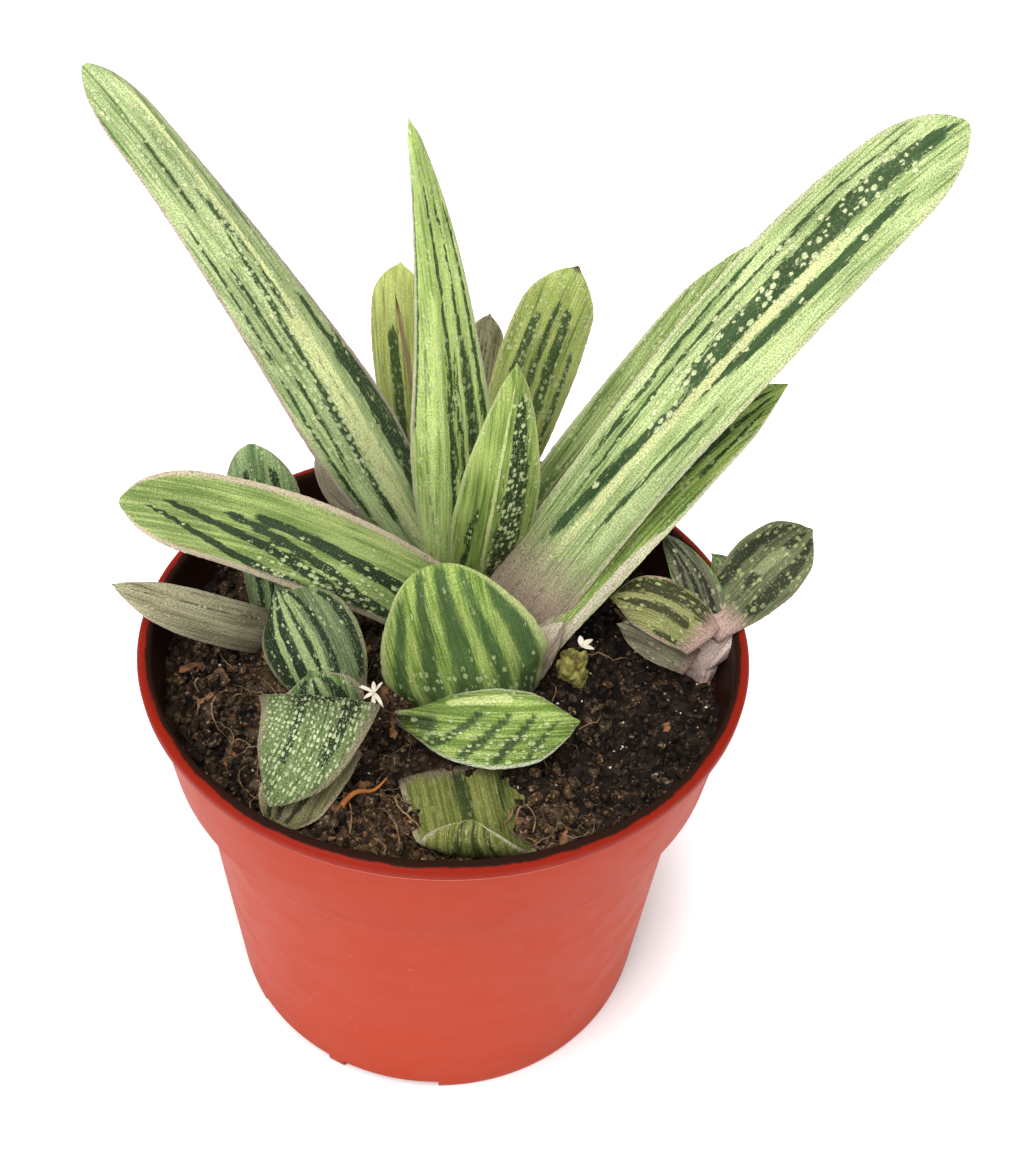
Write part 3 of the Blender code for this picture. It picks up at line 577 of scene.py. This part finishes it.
            dark=(62, 86, 44), margin=(182, 180, 112)),
        bands=[(0.22, 0.9, (0, -0.15), (0.62, -0.25))]),
    "backTipLeaf": dict(
        node="leaf_back_tip", rib=((4, 52.5, 92), (5.8, 53, 120), (7.2, 52, 134.5)),
        face=(0, -0.95, 0.3), sunk=10, widths=(6, 8, 9, 8, 4), close=(0.76, 0.6), front=1.1, back=1.1,
        ground=0.3,
        tones="grey", look=dict(dots=0.4, mottle=0.9)),
    "driedStrip": dict(
        node="dried_strip", rib=((-2.5, 34, 84), (-6.9, 36.5, 116), (-11.5, 36.5, 146.5)),
        face=(-0.5, -0.8, 0.3), twist=15, widths=(1.8, 1.7, 1.5, 1.2, 0.8), close=(0.9, 0.6), front=0.3,
        back=0.3, mucro=1, wave=0.2,
        tones="dry", look=dict(dots=0, footEnd=0.05, brownTip=0.08)),
    "darkLeftLeaf": dict(
        node="leaf_dark_left", rib=((-33, 3, 85), (-35.3, 11, 105), (-37.6, 13, 127.3)),
        face=(-0.15, -0.85, 0.5), sunk=6, widths=(11, 13.5, 14.5, 15, 11), close=(0.78, 0.5), front=2.4,
        back=1.8, sharp=1.7, cup=0.1, mucro=0.4,
        tones="deep", look=dict(dots=0.6, mottle=0.7, dotScale=1.5, pale=(150, 172, 116),
            fresh=(92, 120, 72)),
        bands=[(0.14, 0.9, (0, -0.55), (0.9, -0.3)), (0.12, 1, (0, -0.05), (0.85, 0.05)),
            (0.14, 0.9, (0, 0.5), (0.9, 0.5))]),
    "greyLeftLeaf": dict(
        node="leaf_grey_left", rib=((-37, 2.5, 89), (-49.5, -3.5, 99.2), (-63.5, -2.5, 105)),
        face=(-0.15, -0.7, 0.7), widths=(9.5, 9.8, 9.6, 7.6, 1.2), close=(0.92, 0.7), front=2.4, back=1,
        cup=0.06,
        tones="grey", look=dict(dots=0.7, mottle=0.6, marginWidth=0.08, dotScale=1.6, footShade=0.85),
        bands=[(0.05, 0.7, (0.1, 0.5), (0.9, 0.3))]),
    "beigeBase": dict(
        node="leaf_beige_base", rib=((-20, 45, 88), (-26, 44, 95), (-28.5, 43.5, 105)),
        face=(-0.2, -0.85, 0.45), sunk=6, widths=(7, 7.5, 6.5, 5, 3), close=(0.8, 0.6), front=0.9, back=0.9,
        tones="beige", look=dict(dots=0.3, mottle=0.6, footEnd=0, footShade=0.9, fresh=(190, 178, 146))),
    "leftPupLower": dict(
        node="left_pup_lower", rib=((-22.5, -27, 100.8), (-24.8, -35.4, 97.4), (-30.2, -42.3, 89.7)),
        face=(-0.06, -0.62, 0.78), widths=(22.4, 19.4, 17, 14, 9), close=(0.6, 0.55), front=0.9, back=1.6,
        sharp=2, cup=0.04, wave=0.2, pleats=(4, 0.3), parallel=0.8,
        tones="deep", look=dict(dots=1, footEnd=0, mottle=0.8, margin=(150, 142, 112), marginWidth=0.08,
            dotScale=1.35, scatterDots=0.6, pale=(132, 150, 94), fresh=(84, 106, 54)),
        bands=[(0.16, 0.8, (-0.1, -0.55), (0.6, -0.5)), (0.12, 0.8, (-0.1, 0.3), (0.7, 0.25)),
            (0.5, 0.9, (-0.1, 0), (0.06, 0))],
        dots=(0.85, [])),
    "leftPupUnder": dict(
        node="left_pup_under", rib=((-20.5, -26, 90), (-25.5, -35.5, 87.8), (-29.5, -44.5, 84.6)),
        face=(-0.1, -0.55, 0.82), widths=(13, 14.5, 14, 12.5, 8), close=(0.66, 0.55), front=1.6, back=1.2,
        cup=0.06, wave=0.2, pleats=(3, 0.15),
        tones="mauve", look=dict(mottle=0.7, margin=(176, 166, 134), pale=(152, 146, 102),
            fresh=(112, 106, 70), dark=(50, 52, 32)),
        bands=[(0.12, 0.9, (0.2, -0.45), (0.9, -0.3)), (0.12, 0.9, (0.2, 0.1), (0.9, 0.1)),
            (0.12, 0.9, (0.2, 0.6), (0.9, 0.5))]),
    "leftPupBud": dict(
        node="left_pup_bud", rib=((-22.5, -23.5, 94), (-23, -24, 98.5), (-24.5, -21.8, 102)),
        face=(0, -0.9, 0.5), widths=(15, 16, 15.5, 12.5, 8), close=(0.6, 0.55), front=1, back=1, cup=0.12,
        wave=0.2, pleats=(3, 0.15),
        tones="deep", look=dict(dots=0.7, mottle=0.8, margin=(150, 138, 116), marginWidth=0.08,
            dotScale=1.7, ridge=(146, 160, 112)),
        bands=[(0.16, 1, (0, -0.5), (0.9, -0.35)), (0.12, 1, (0, 0), (0.9, 0)),
            (0.16, 1, (0, 0.55), (0.9, 0.4))],
        ridges=[(0.08, 0.9, (0.1, -0.2), (0.9, -0.1)), (0.08, 0.9, (0.1, 0.25), (0.9, 0.15))]),
    "leftPupUpper": dict(
        node="left_pup_upper", rib=((-21.5, -14.5, 88), (-26, -9, 98), (-33, 0.5, 103)),
        face=(-0.1, -0.68, 0.72), widths=(13, 18, 19.5, 17, 10), close=(0.62, 0.6), front=3.2, back=1.6,
        keel=(-0.1, -0.2), sharp=1.6, cup=0.1, mucro=1, wave=0.3, pleats=(3, 0.25), parallel=0.3,
        tones="deep", look=dict(dots=0.7, mottle=0.8, tear=0.9, ridge=(158, 178, 118), dotScale=1.5,
            pale=(132, 146, 104), fresh=(92, 108, 72), footShade=0.9),
        bands=[(0.26, 1, (0, -0.85), (0.95, -0.7)), (0.15, 1, (0, -0.42), (0.95, -0.32)),
            (0.12, 1, (0, -0.03), (0.95, 0)), (0.09, 0.9, (0, 0.32), (0.9, 0.28)),
            (0.1, 0.8, (0.1, 0.88), (0.8, 0.8))],
        ridges=[(0.06, 1, (0.1, -0.6), (0.9, -0.48)), (0.08, 1, (0, -0.2), (0.95, -0.14)),
            (0.06, 1, (0, 0.14), (0.9, 0.12))],
        dots=(0.25, [])),
    "rightPupFront": dict(
        node="right_pup_front", rib=((51, -3.5, 95), (43, 1.5, 99), (33, 5.5, 98)),
        face=(0.05, -0.7, 0.72), widths=(8.5, 12, 12.4, 10.6, 4), close=(0.78, 0.6), front=2, back=1.2,
        keel=(0.2, 0.2), sharp=1.5, wave=0.2, pleats=(3, 0.2),
        tones="olive", look=dict(dots=0.8, footEnd=0.2, mottle=0.4, dark=(56, 58, 34),
            margin=(186, 160, 144), foot=(192, 160, 146), pale=(158, 158, 100), fresh=(114, 118, 68),
            footShade=0.9),
        bands=[(0.34, 0.85, (0, 0.6), (0.95, 0.6)), (0.16, 0.9, (0.2, -0.1), (0.95, -0.1)),
            (0.1, 0.8, (0, -0.8), (0.5, -0.8))],
        dots=(0.35, [])),
    "rightPupUpright": dict(
        node="right_pup_upright", rib=((51.8, 0.5, 94), (48.8, 5.5, 103), (42.5, 12.5, 109)),
        face=(-0.1, -0.75, 0.65), widths=(10.5, 10.5, 8.8, 5.8, 1.6), close=(0.88, 0.7), front=2, back=1,
        keel=(0.4, 0.4), sharp=1.3, wave=0.2, pleats=(3, 0.25),
        tones="mauve", look=dict(dots=0.8, mottle=0.8, margin=(110, 146, 70), pale=(116, 118, 92),
            fresh=(72, 74, 56), dark=(38, 44, 32), foot=(186, 156, 144), footShade=0.9),
        bands=[(0.14, 0.9, (0.1, -0.5), (0.95, -0.3)), (0.1, 1, (0.1, -0.05), (0.95, 0)),
            (0.12, 0.9, (0.1, 0.4), (0.9, 0.35))],
        dots=(0.4, [])),
    "rightPupBig": dict(
        node="right_pup_big", rib=((51.8, -1, 95), (63.6, 9, 103.4), (73, 15, 109)),
        face=(-0.1, -0.7, 0.7), widths=(6, 13, 15.6, 13, 7), close=(0.76, 0.55), front=2.2, back=1.2,
        cup=-0.1, wave=0.2, pleats=(3, 0.2),
        tones="olive", look=dict(dots=0.6, footEnd=0.22, mottle=0.8, margin=(124, 120, 90),
            pale=(118, 124, 88), fresh=(80, 86, 58), dark=(44, 52, 36), foot=(196, 164, 152),
            ridge=(148, 154, 112), footShade=0.9),
        bands=[(0.18, 1, (0.2, -0.75), (0.9, -0.6)), (0.1, 1, (0.3, -0.1), (0.95, -0.05)),
            (0.2, 1, (0.2, 0.6), (0.95, 0.5))],
        ridges=[(0.16, 0.8, (0.42, -0.12), (0.72, 0))],
        dots=(0.4, [])),
    "rightPupBack": dict(
        node="right_pup_back", rib=((55.5, 6.5, 97), (56.2, 9, 101), (53.6, 12.5, 104)),
        face=(-0.1, -0.75, 0.65), widths=(4, 6, 6.4, 5.4, 3), close=(0.74, 0.55), front=0.9, back=0.9,
        wave=0.2, pleats=(3, 0.15), ground=0.25,
        tones="deep", look=dict(dots=0.7, mottle=0.6)),
    "rightPupUnder": dict(
        node="right_pup_under", rib=((49.5, -3.5, 89), (42.5, 0.5, 91), (35, 4, 92)),
        face=(0.05, -0.75, 0.66), widths=(6, 8, 8.6, 7, 3), close=(0.78, 0.6), front=1, back=1, wave=0.2,
        pleats=(3, 0.15), ground=0.2,
        tones="mauve", look=dict(dots=0.7, mottle=0.7)),
    "pupSheathLeft": dict(
        node="right_pup_stem", rib=((52.6, -0.6, 81.5), (50.8, -0.6, 88.5), (44.5, 2.5, 92.5)),
        face=(-0.1, -0.8, 0.5), widths=(4.5, 7, 9, 8, 4), close=(0.7, 0.5), front=1.4, back=0.8,
        keel=(0.3, 0.3), sharp=1.5, cup=0.1, pleats=(2.4, 0.6),
        tones="pink", look=dict(dots=0.1, footEnd=0.02, footShade=1)),
    "pupSheathRight": dict(
        node="right_pup_stem", rib=((52, 0.4, 81.5), (52.9, -1.2, 89.5), (59.5, 2, 97.5)),
        face=(0, -0.8, 0.5), widths=(4, 6, 7.4, 8, 4), close=(0.7, 0.5), front=1.4, back=0.8,
        keel=(-0.2, 0.2), sharp=1.5, cup=0.1, pleats=(2.4, 0.5),
        tones="pink", look=dict(dots=0.1, footEnd=0.02, footShade=1)),
    "mainSheath": dict(
        node="main_stem", rib=((15, -5, 83), (17.5, -3, 88.5), (23, 1, 94.5)), face=(0.2, -0.8, 0.5),
        widths=(7, 9, 9, 7, 4), close=(0.7, 0.5), front=1.4, back=0.8, keel=(0, 0.2), sharp=1.5, cup=0.2,
        pleats=(2.4, 0.5),
        tones="beige", look=dict(dots=0.2, footEnd=0.02, fresh=(176, 156, 134))),
}

for number, (name, own) in enumerate(leaves.items(), 1):
    leaf = {**usualLeaf, **own}
    material = leafMaterial(name + "Skin", leaf["tones"], float(number), **leaf["look"])
    growLeaf(name, leaf, material, float(number))
print("leaves grown:", len(leaves))

pot = dict(rim=60.0, height=95.0, lipDrop=3.0, collarTop=58.4, collarFoot=56.2, stepHeight=70.5,
           bodyTop=52.2, baseRadius=47.4, wall=1.3, floor=3.0, sides=192,
           notches=(-132.5, -102.0, -12.5, 18.0, 107.5, 138.0), notchArc=26.0, notchRise=2.7, notchReach=9.0)


def turn(profile, sides):
    body = bmesh.new()
    corners = [body.verts.new((radius * mm, 0, height * mm)) for radius, height in profile]
    edges = [body.edges.new(pair) for pair in zip(corners[:-1], corners[1:])]
    bmesh.ops.spin(body, geom=corners + edges, cent=(0, 0, 0), axis=(0, 0, 1), angle=2 * math.pi,
                   steps=sides, use_merge=True)
    bmesh.ops.remove_doubles(body, verts=body.verts, dist=0.00001)
    bmesh.ops.recalc_face_normals(body, faces=body.faces)
    return body


def makePot():
    wall, top, under = pot["wall"], pot["height"], pot["height"] - pot["lipDrop"]
    step, collar, foot, base = pot["stepHeight"], pot["collarTop"], pot["collarFoot"], pot["baseRadius"]
    rim, bodyTop, floor = pot["rim"], pot["bodyTop"], pot["floor"]
    profile = [(0, floor), (base - wall - 1.5, floor), (base - wall - 0.4, floor + 0.4),  # inside, going up
               (base - wall, floor + 1.5), (bodyTop - wall, step), (foot - wall, step + 1.6),
               (collar - wall, under), (collar - wall + 0.1, top - 0.9), (collar - wall + 0.3, top - 0.35),
               (collar - wall + 0.8, top), (rim - 0.9, top), (rim - 0.3, top - 0.2),  # rolled lip
               (rim, top - 0.8), (rim - 0.1, under + 0.6), (rim - 0.4, under + 0.1), (rim - 1.0, under - 0.2),
               (collar + 0.1, under - 0.5), (collar - 0.05, under - 1.2),  # collar and step
               (foot + 0.05, step + 1.0), (foot - 0.15, step + 0.35), (foot - 0.7, step),
               (foot - 2.4, step - 0.2), (bodyTop + 0.5, step - 0.6), (bodyTop - 0.1, step - 2.2),
               (base + 0.4, 4.9), (base + 0.34, 4.0), (base + 0.27, 3.0), (base + 0.2, 2.0),  # foot
               (base, 0.7), (base - 0.8, 0), (0, 0)]
    body = turn(profile, pot["sides"])
    inner = body.verts.layers.float.new("inner")
    for vert in body.verts:
        radius = math.hypot(vert.co.x, vert.co.y) / mm
        height = vert.co.z / mm
        skin = foot + (collar - foot) * (height - step) / (under - step)
        if height < step:
            skin = base + (bodyTop - base) * height / step
        vert[inner] = 1.0 if height > 1.0 and radius < skin - 0.6 * wall else 0.0
    piece = addPiece("potShell", body, potMaterial(), ("pot",))
    cutters = bmesh.new()
    for centre in pot["notches"]:
        for vert in bmesh.ops.create_cube(cutters, size=1.0)["verts"]:
            swing = math.radians(centre + pot["notchArc"] * vert.co.y)
            radius = base - pot["notchReach"] if vert.co.x < 0 else base + 4.0
            height = pot["notchRise"] if vert.co.z > 0 else -2.0
            vert.co = Vector((radius * math.cos(swing), radius * math.sin(swing), height)) * mm
    bmesh.ops.recalc_face_normals(cutters, faces=cutters.faces)
    mesh = bpy.data.meshes.new("notches")
    cutters.to_mesh(mesh)
    cutters.free()
    tool = addToScene("notches", mesh)
    cut = piece.modifiers.new("notches", "BOOLEAN")
    cut.operation, cut.solver, cut.object = "DIFFERENCE", "EXACT", tool
    evaluated = piece.evaluated_get(bpy.context.evaluated_depsgraph_get())
    settled = bpy.data.meshes.new_from_object(evaluated)
    piece.modifiers.clear()
    piece.data = settled
    bpy.data.objects.remove(tool)


makePot()
print("pot turned")

soil = dict(edge=81.5, mound=1.5, radius=56.6, bottom=72.0, lumps=2.2, frontHeap=2.2, leftHeap=2.6, dip=3.0,
            dipAt=(4.6, -40.5), seed=11)


def soilHeight(x, y):
    radius = math.hypot(x, y)
    height = soil["edge"] + soil["mound"] * (1 - (radius / soil["radius"]) ** 2)
    front = max(0.0, min(1.0, (-y - 20.0) / 30.0))  # heaped towards the front wall
    height += soil["frontHeap"] * front + soil["leftHeap"] * max(0.0, min(1.0, (-x - 28.0) / 22.0))
    dipX, dipY = soil["dipAt"]  # room for the buried leaf
    height -= soil["dip"] * math.exp(-((x - dipX) / 10.5) ** 4 - ((y - dipY) / 9.5) ** 4)
    point = Vector((x, y, 3.7))
    height += soil["lumps"] * 0.8 * noise.noise(point / 9.0)
    height += soil["lumps"] * 0.85 * noise.noise(point / 3.6)
    height += soil["lumps"] * 0.9 * (abs(noise.noise(point / 1.7)) - 0.2)
    return height


def makeSoil():
    steps = 120 if fine else 60
    profile = [(0, soil["bottom"]), (soil["radius"] - 2.0, soil["bottom"])]
    profile += [(soil["radius"] * i / steps, soil["edge"]) for i in range(steps, -1, -1)]
    body = turn(profile, 360 if fine else 180)
    for vert in body.verts:
        if vert.co.z > (soil["edge"] - 0.01) * mm:
            vert.co.z = soilHeight(vert.co.x / mm, vert.co.y / mm) * mm
    addPiece("soilTop", body, soilMaterial("soilEarth", "earth"), ("soil",))


def lumpInto(body, size, roughness, level, seed):
    made = bmesh.ops.create_icosphere(body, subdivisions=level, radius=1.0)["verts"]
    for vert in made:
        swell = 1.0 + roughness * noise.noise(vert.co * 1.7 + Vector((seed, seed * 0.7, 0)))
        vert.co = Vector(vert.co[i] * size[i] * swell for i in range(3))
    return made


def scatter(name, count, material, level, sizes, area, stretch, sink, flat, seed):
    draw = random.Random(seed)
    whole = bmesh.new()
    part = bpy.data.meshes.new("batch")
    batch = bmesh.new()
    for index in range(count):
        x = y = 99.0
        while math.hypot(x, y) > 54.5 or draw.random() > area(x, y):
            x, y = draw.uniform(-56, 56), draw.uniform(-56, 56)
        size = draw.uniform(*sizes) * draw.uniform(0.6, 1.0)
        shape = (size * draw.uniform(1, stretch), size * draw.uniform(0.7, 1),
                 size * flat * draw.uniform(0.7, 1))
        made = lumpInto(batch, shape, 0.7, level, draw.uniform(0, 99))
        heading, tilt = draw.uniform(0, 6.28), draw.uniform(-0.5, 0.5)
        turnBy = Matrix.Rotation(heading, 3, "Z") @ Matrix.Rotation(tilt, 3, "X")
        height = soilHeight(x, y) + size * flat * (0.5 - sink)
        for vert in made:
            vert.co = (turnBy @ vert.co + Vector((x, y, height))) * mm
        if index % 50 == 49 or index == count - 1:  # joined in batches, which is quicker
            batch.to_mesh(part)
            whole.from_mesh(part)
            batch.clear()
    batch.free()
    bpy.data.meshes.remove(part)
    addPiece(name, whole, material, smoothShade=level > 1)


def strandMesh(name, strands, material):
    # strands: radius and a path of points in millimetres
    curve = bpy.data.curves.new(name, "CURVE")
    curve.dimensions = "3D"
    curve.bevel_depth = mm
    curve.bevel_resolution = 1
    curve.use_fill_caps = True
    for radius, path in strands:
        line = curve.splines.new("POLY")
        line.points.add(len(path) - 1)
        for index, (point, spot) in enumerate(zip(line.points, path)):
            point.co = (*[value * mm for value in spot], 1.0)
            point.radius = radius * (1.0 - 0.75 * (index / (len(path) - 1)) ** 2)
    source = addToScene(name + "Path", curve)
    mesh = bpy.data.meshes.new_from_object(source.evaluated_get(bpy.context.evaluated_depsgraph_get()))
    bpy.data.objects.remove(source)
    body = bmesh.new()
    body.from_mesh(mesh)
    bpy.data.meshes.remove(mesh)
    addPiece(name, body, material)


def everywhere(x, y):
    return 1.0


def leftAndFront(x, y):
    return 1.0 if (x < -4 or y < -38) else 0.18


def rightSide(x, y):
    return 1.0 if x > 5 else 0.25


def frontHeap(x, y):
    right = math.exp(-((x - 21) / 9) ** 2 - ((y + 42) / 7) ** 2)
    left = math.exp(-((x + 8) / 12) ** 2 - ((y + 46) / 8) ** 2)
    return min(1.0, right + left + 0.10 * leftAndFront(x, y))


makeSoil()
dark = soilMaterial("soilCrumb", "crumb", 0.5, 300.0)
brown = soilMaterial("soilClod", "clod", 0.25, 520.0)
coir = soilMaterial("soilCoir", "coir", 0.2, 620.0)
bark = mottledMaterial("barkChip", (52, 36, 24), (156, 104, 64), 300.0, 0.85, 0.5)
pumice = mottledMaterial("paleGrain", (226, 220, 206), (180, 170, 150), 500.0, 0.8, 0.2)
looseBits = {
    "darkCrumbs": (4600, 600, dark, 1, (0.35, 1.25), everywhere, 1.0, 0.3, 1.0, 0),
    "brownCrumbs": (1533, 200, brown, 1, (0.3, 1.1), leftAndFront, 1.5, 0.3, 1.0, 7),
    "brownClods": (230, 60, brown, 2, (0.8, 2.2), leftAndFront, 1.4, 0.3, 1.0, 1),
    "coirClumps": (900, 200, coir, 1, (0.35, 1.5), frontHeap, 1.8, 0.1, 1.0, 8),
    "barkChips": (110, 110, bark, 1, (0.8, 2.2), leftAndFront, 2.4, 0.1, 0.45, 2),
    "paleGrains": (170, 170, pumice, 1, (0.14, 0.42), rightSide, 1.3, -0.2, 1.0, 3),
}
for name, (count, quickCount, *rest, seed) in looseBits.items():
    scatter(name, count if fine else quickCount, *rest, soil["seed"] + seed)

fibres = dict(count=90, points=12, lengths=(5, 13), radii=(0.07, 0.24), lift=0.5, arch=1.3,
              tones=((84, 62, 42), (158, 126, 88)))
amberFibre = dict(start=(-18, -39.5, 86.2), points=12, radius=0.55, tones=((196, 120, 48), (150, 84, 34)))


def makeFibres():
    draw = random.Random(soil["seed"] + 4)
    strands, steps = [], fibres["points"] - 1
    for fibre in range(fibres["count"]):
        for attempt in range(40):
            x, y = draw.uniform(-52, 30), draw.uniform(-52, 10)
            if math.hypot(x, y) < 51 and draw.random() < leftAndFront(x, y):
                break
        heading, bend = draw.uniform(0, 6.28), draw.uniform(-0.35, 0.35)
        path, length = [], draw.uniform(*fibres["lengths"])
        for step in range(fibres["points"]):
            arch = fibres["arch"] * math.sin(math.pi * step / steps) * draw.uniform(0.7, 1.0)
            path.append((x, y, soilHeight(x, y) + fibres["lift"] + arch))
            x, y = x + math.cos(heading) * length / steps, y + math.sin(heading) * length / steps
            heading += bend * draw.uniform(0.3, 1.2)
        if all(math.hypot(spot[0], spot[1]) < 55 for spot in path):
            strands.append((draw.uniform(*fibres["radii"]), path))
    strandMesh("rootFibres", strands, mottledMaterial("rootFibre", *fibres["tones"], 300.0, 0.8, 0.1))
    x, y, z = amberFibre["start"]
    path = [(x + 0.7 * i, y + 0.62 * i + 0.8 * math.sin(i * 0.6), z + 0.5 * math.sin(i * 0.5))
            for i in range(amberFibre["points"])]
    strandMesh("amberFibre", [(amberFibre["radius"], path)],
               mottledMaterial("amberSkin", *amberFibre["tones"], 300.0, 0.6, 0.1))


makeFibres()
print("soil heaped")

stems = {  # node, foot, top, radii and tones
    "mainStem": ("main_stem", (7, 13, 78.0), (7, 15, 86.0), (5.0, 4.0), ((150, 132, 104), (112, 92, 70))),
    "leftPupStem": ("left_pup_stem", (-20.5, -17.5, 78.0), (-21.5, -19.5, 91.5), (4.2, 3.2),
                    ((146, 128, 104), (108, 90, 70))),
}


def makeStems():
    for name, (node, foot, top, radii, tones) in stems.items():
        foot, top = Vector(foot), Vector(top)
        body = bmesh.new()
        bmesh.ops.create_cone(body, cap_ends=True, segments=40, depth=(top - foot).length, radius1=radii[0],
                              radius2=radii[1])
        turnBy = (top - foot).to_track_quat("Z", "Y").to_matrix()
        bmesh.ops.rotate(body, verts=body.verts, cent=(0, 0, 0), matrix=turnBy)
        for vert in body.verts:
            vert.co = (vert.co + (foot + top) / 2) * mm
        rims = [e for e in body.edges if len(e.link_faces) == 2 and e.calc_face_angle(0) > 1.0]
        bmesh.ops.bevel(body, geom=rims, offset=0.8 * mm, segments=3, affect="EDGES", profile=0.5,
                        material=-1)
        addPiece(name, body, mottledMaterial(name + "Skin", *tones, 300.0, 0.5, 0.2), (node,))


mossLump = dict(centre=(26.0, -3.5, 86.5), size=(3.2, 2.8, 4.6), tones=((156, 152, 74), (88, 76, 36)))


def makeLump():
    body = bmesh.new()
    made = bmesh.ops.create_icosphere(body, subdivisions=5, radius=1.0)["verts"]
    for vert in made:
        swell = (1.0 + 0.5 * noise.noise(vert.co * 1.5) + 0.22 * noise.noise(vert.co * 4.0)
                 + 0.05 * noise.noise(vert.co * 11.0))
        vert.co = Vector(at + value * size * swell for at, value, size
                         in zip(mossLump["centre"], vert.co, mossLump["size"])) * mm
    moss = mottledMaterial("mossSkin", *mossLump["tones"], 500.0, 0.85, 0.6)
    addPiece("mossLump", body, moss, ("soil_lump",))


def petalInto(body, root, heading, rise, length, width):
    made = bmesh.ops.create_grid(body, x_segments=3, y_segments=8, size=1.0)["verts"]
    faces = list(dict.fromkeys(face for vert in made for face in vert.link_faces))
    for vert in made:
        step = 0.5 * (vert.co.y + 1)
        wide = width * math.sin(math.pi * min(0.97, 0.12 + 0.85 * step))
        side = vert.co.x * wide
        out, up = length * step * math.cos(rise), length * (step * math.sin(rise) - 0.25 * step * step)
        vert.co = Vector((root[0] + out * math.cos(heading) - side * math.sin(heading),
                          root[1] + out * math.sin(heading) + side * math.cos(heading),
                          root[2] + up + 0.15 * vert.co.x ** 2)) * mm
    bmesh.ops.solidify(body, geom=faces, thickness=0.18 * mm)


petals = {  # heading, rise and length of each petal
    "driedFlower": dict(root=(-13.0, -23.0, 98.5), width=0.4, petals=[
        (0.2, 1.1, 3.6), (1.7, 1.3, 2.9), (2.9, 0.5, 3.8), (3.7, 0.0, 2.2), (4.7, -0.6, 4.4),
        (5.4, -0.3, 3.0)]),
    "lumpPetals": dict(root=(27.0, -1.5, 91.0), width=0.6, petals=[
        (0.6, 0.3, 3.2), (1.6, 0.5, 2.6), (6.0, 0.2, 2.8)]),
}


def makePetals():
    paper = mottledMaterial("driedPetal", (238, 232, 216), (206, 192, 166), 500.0, 0.7, 0.1)
    for name, flower in petals.items():
        body = bmesh.new()
        for heading, rise, length in flower["petals"]:
            petalInto(body, flower["root"], heading, rise, length, flower["width"])
        bmesh.ops.recalc_face_normals(body, faces=body.faces)
        addPiece(name, body, paper)


makeStems()
makeLump()
makePetals()
print("stems, lump and dried bits made")

studio = dict(cameraAt=(0.0, -189.3, 271.1), yaw=3.0, pitch=41.3, roll=3.5, lens=40.6,
              shift=(0.0113, 0.0100), sky=0.50, glow=0.45, paintedShadowReach=(0.045, 0.075),
              sun=1.7, sunTilt=(28, -16), sunSpread=50,
              lamps={"keyLight": ((-0.35, -0.45, 0.95), 0.7, 5.0),  # place, size and power
                     "fillLight": ((0.7, -0.35, 0.6), 0.8, 1.0)})


def makeStudio():
    body = bmesh.new()
    bmesh.ops.create_grid(body, x_segments=1, y_segments=1, size=6.0)
    mesh = bpy.data.meshes.new("floor")
    body.to_mesh(mesh)
    body.free()
    floor = addToScene("floor", mesh)
    material, tree, shader = startMaterial("floorPaint")
    where = put(tree, "TexCoord").outputs["Object"]
    tree.links.new(blendColour(tree, cloud(tree, where, 3.0), shade(248, 247, 246), shade(250, 249, 249)),
                   shader.inputs["Base Color"])
    shader.inputs["Roughness"].default_value = 0.9
    shader.inputs["Emission Color"].default_value = (1, 1, 1, 1)
    glow = smooth(tree, fromAxis(tree, where), *studio["paintedShadowReach"], 0.0, studio["glow"])  # the floor glows so it stays white, and the glow fades out by the pot's foot as a painted shadow
    tree.links.new(glow, shader.inputs["Emission Strength"])
    mesh.materials.append(material)
    for name, (place, size, power) in studio["lamps"].items():
        light = bpy.data.lights.new(name, "AREA")
        light.energy, light.size = power, size
        lamp = addToScene(name, light)
        lamp.location = place
        lamp.rotation_euler = (Vector((0, 0, 0.09)) - Vector(place)).to_track_quat("-Z", "Y").to_euler()
    sun = bpy.data.lights.new("softSun", "SUN")
    sun.energy, sun.angle = studio["sun"], math.radians(studio["sunSpread"])
    lamp = addToScene("softSun", sun)
    lamp.rotation_euler = (*(math.radians(angle) for angle in studio["sunTilt"]), 0)
    world = bpy.data.worlds.new("studio")
    world.use_nodes = True
    background = world.node_tree.nodes["Background"]
    background.inputs[0].default_value = (1, 1, 1, 1)
    background.inputs[1].default_value = studio["sky"]
    bpy.context.scene.world = world
    bpy.context.scene.view_settings.view_transform = "Standard"


def makeCamera():
    data = bpy.data.cameras.new("camera")
    data.lens, data.sensor_width = studio["lens"], 36.0
    data.shift_x, data.shift_y = studio["shift"]
    camera = addToScene("camera", data)
    aim = (Matrix.Rotation(math.radians(-studio["yaw"]), 4, "Z")
           @ Matrix.Rotation(math.radians(90 - studio["pitch"]), 4, "X")
           @ Matrix.Rotation(math.radians(studio["roll"]), 4, "Z"))
    camera.matrix_world = Matrix.Translation(Vector(studio["cameraAt"]) * mm) @ aim
    data.clip_start, data.clip_end = 0.01, 20.0
    bpy.context.scene.camera = camera


makeStudio()
makeCamera()
print("studio set")
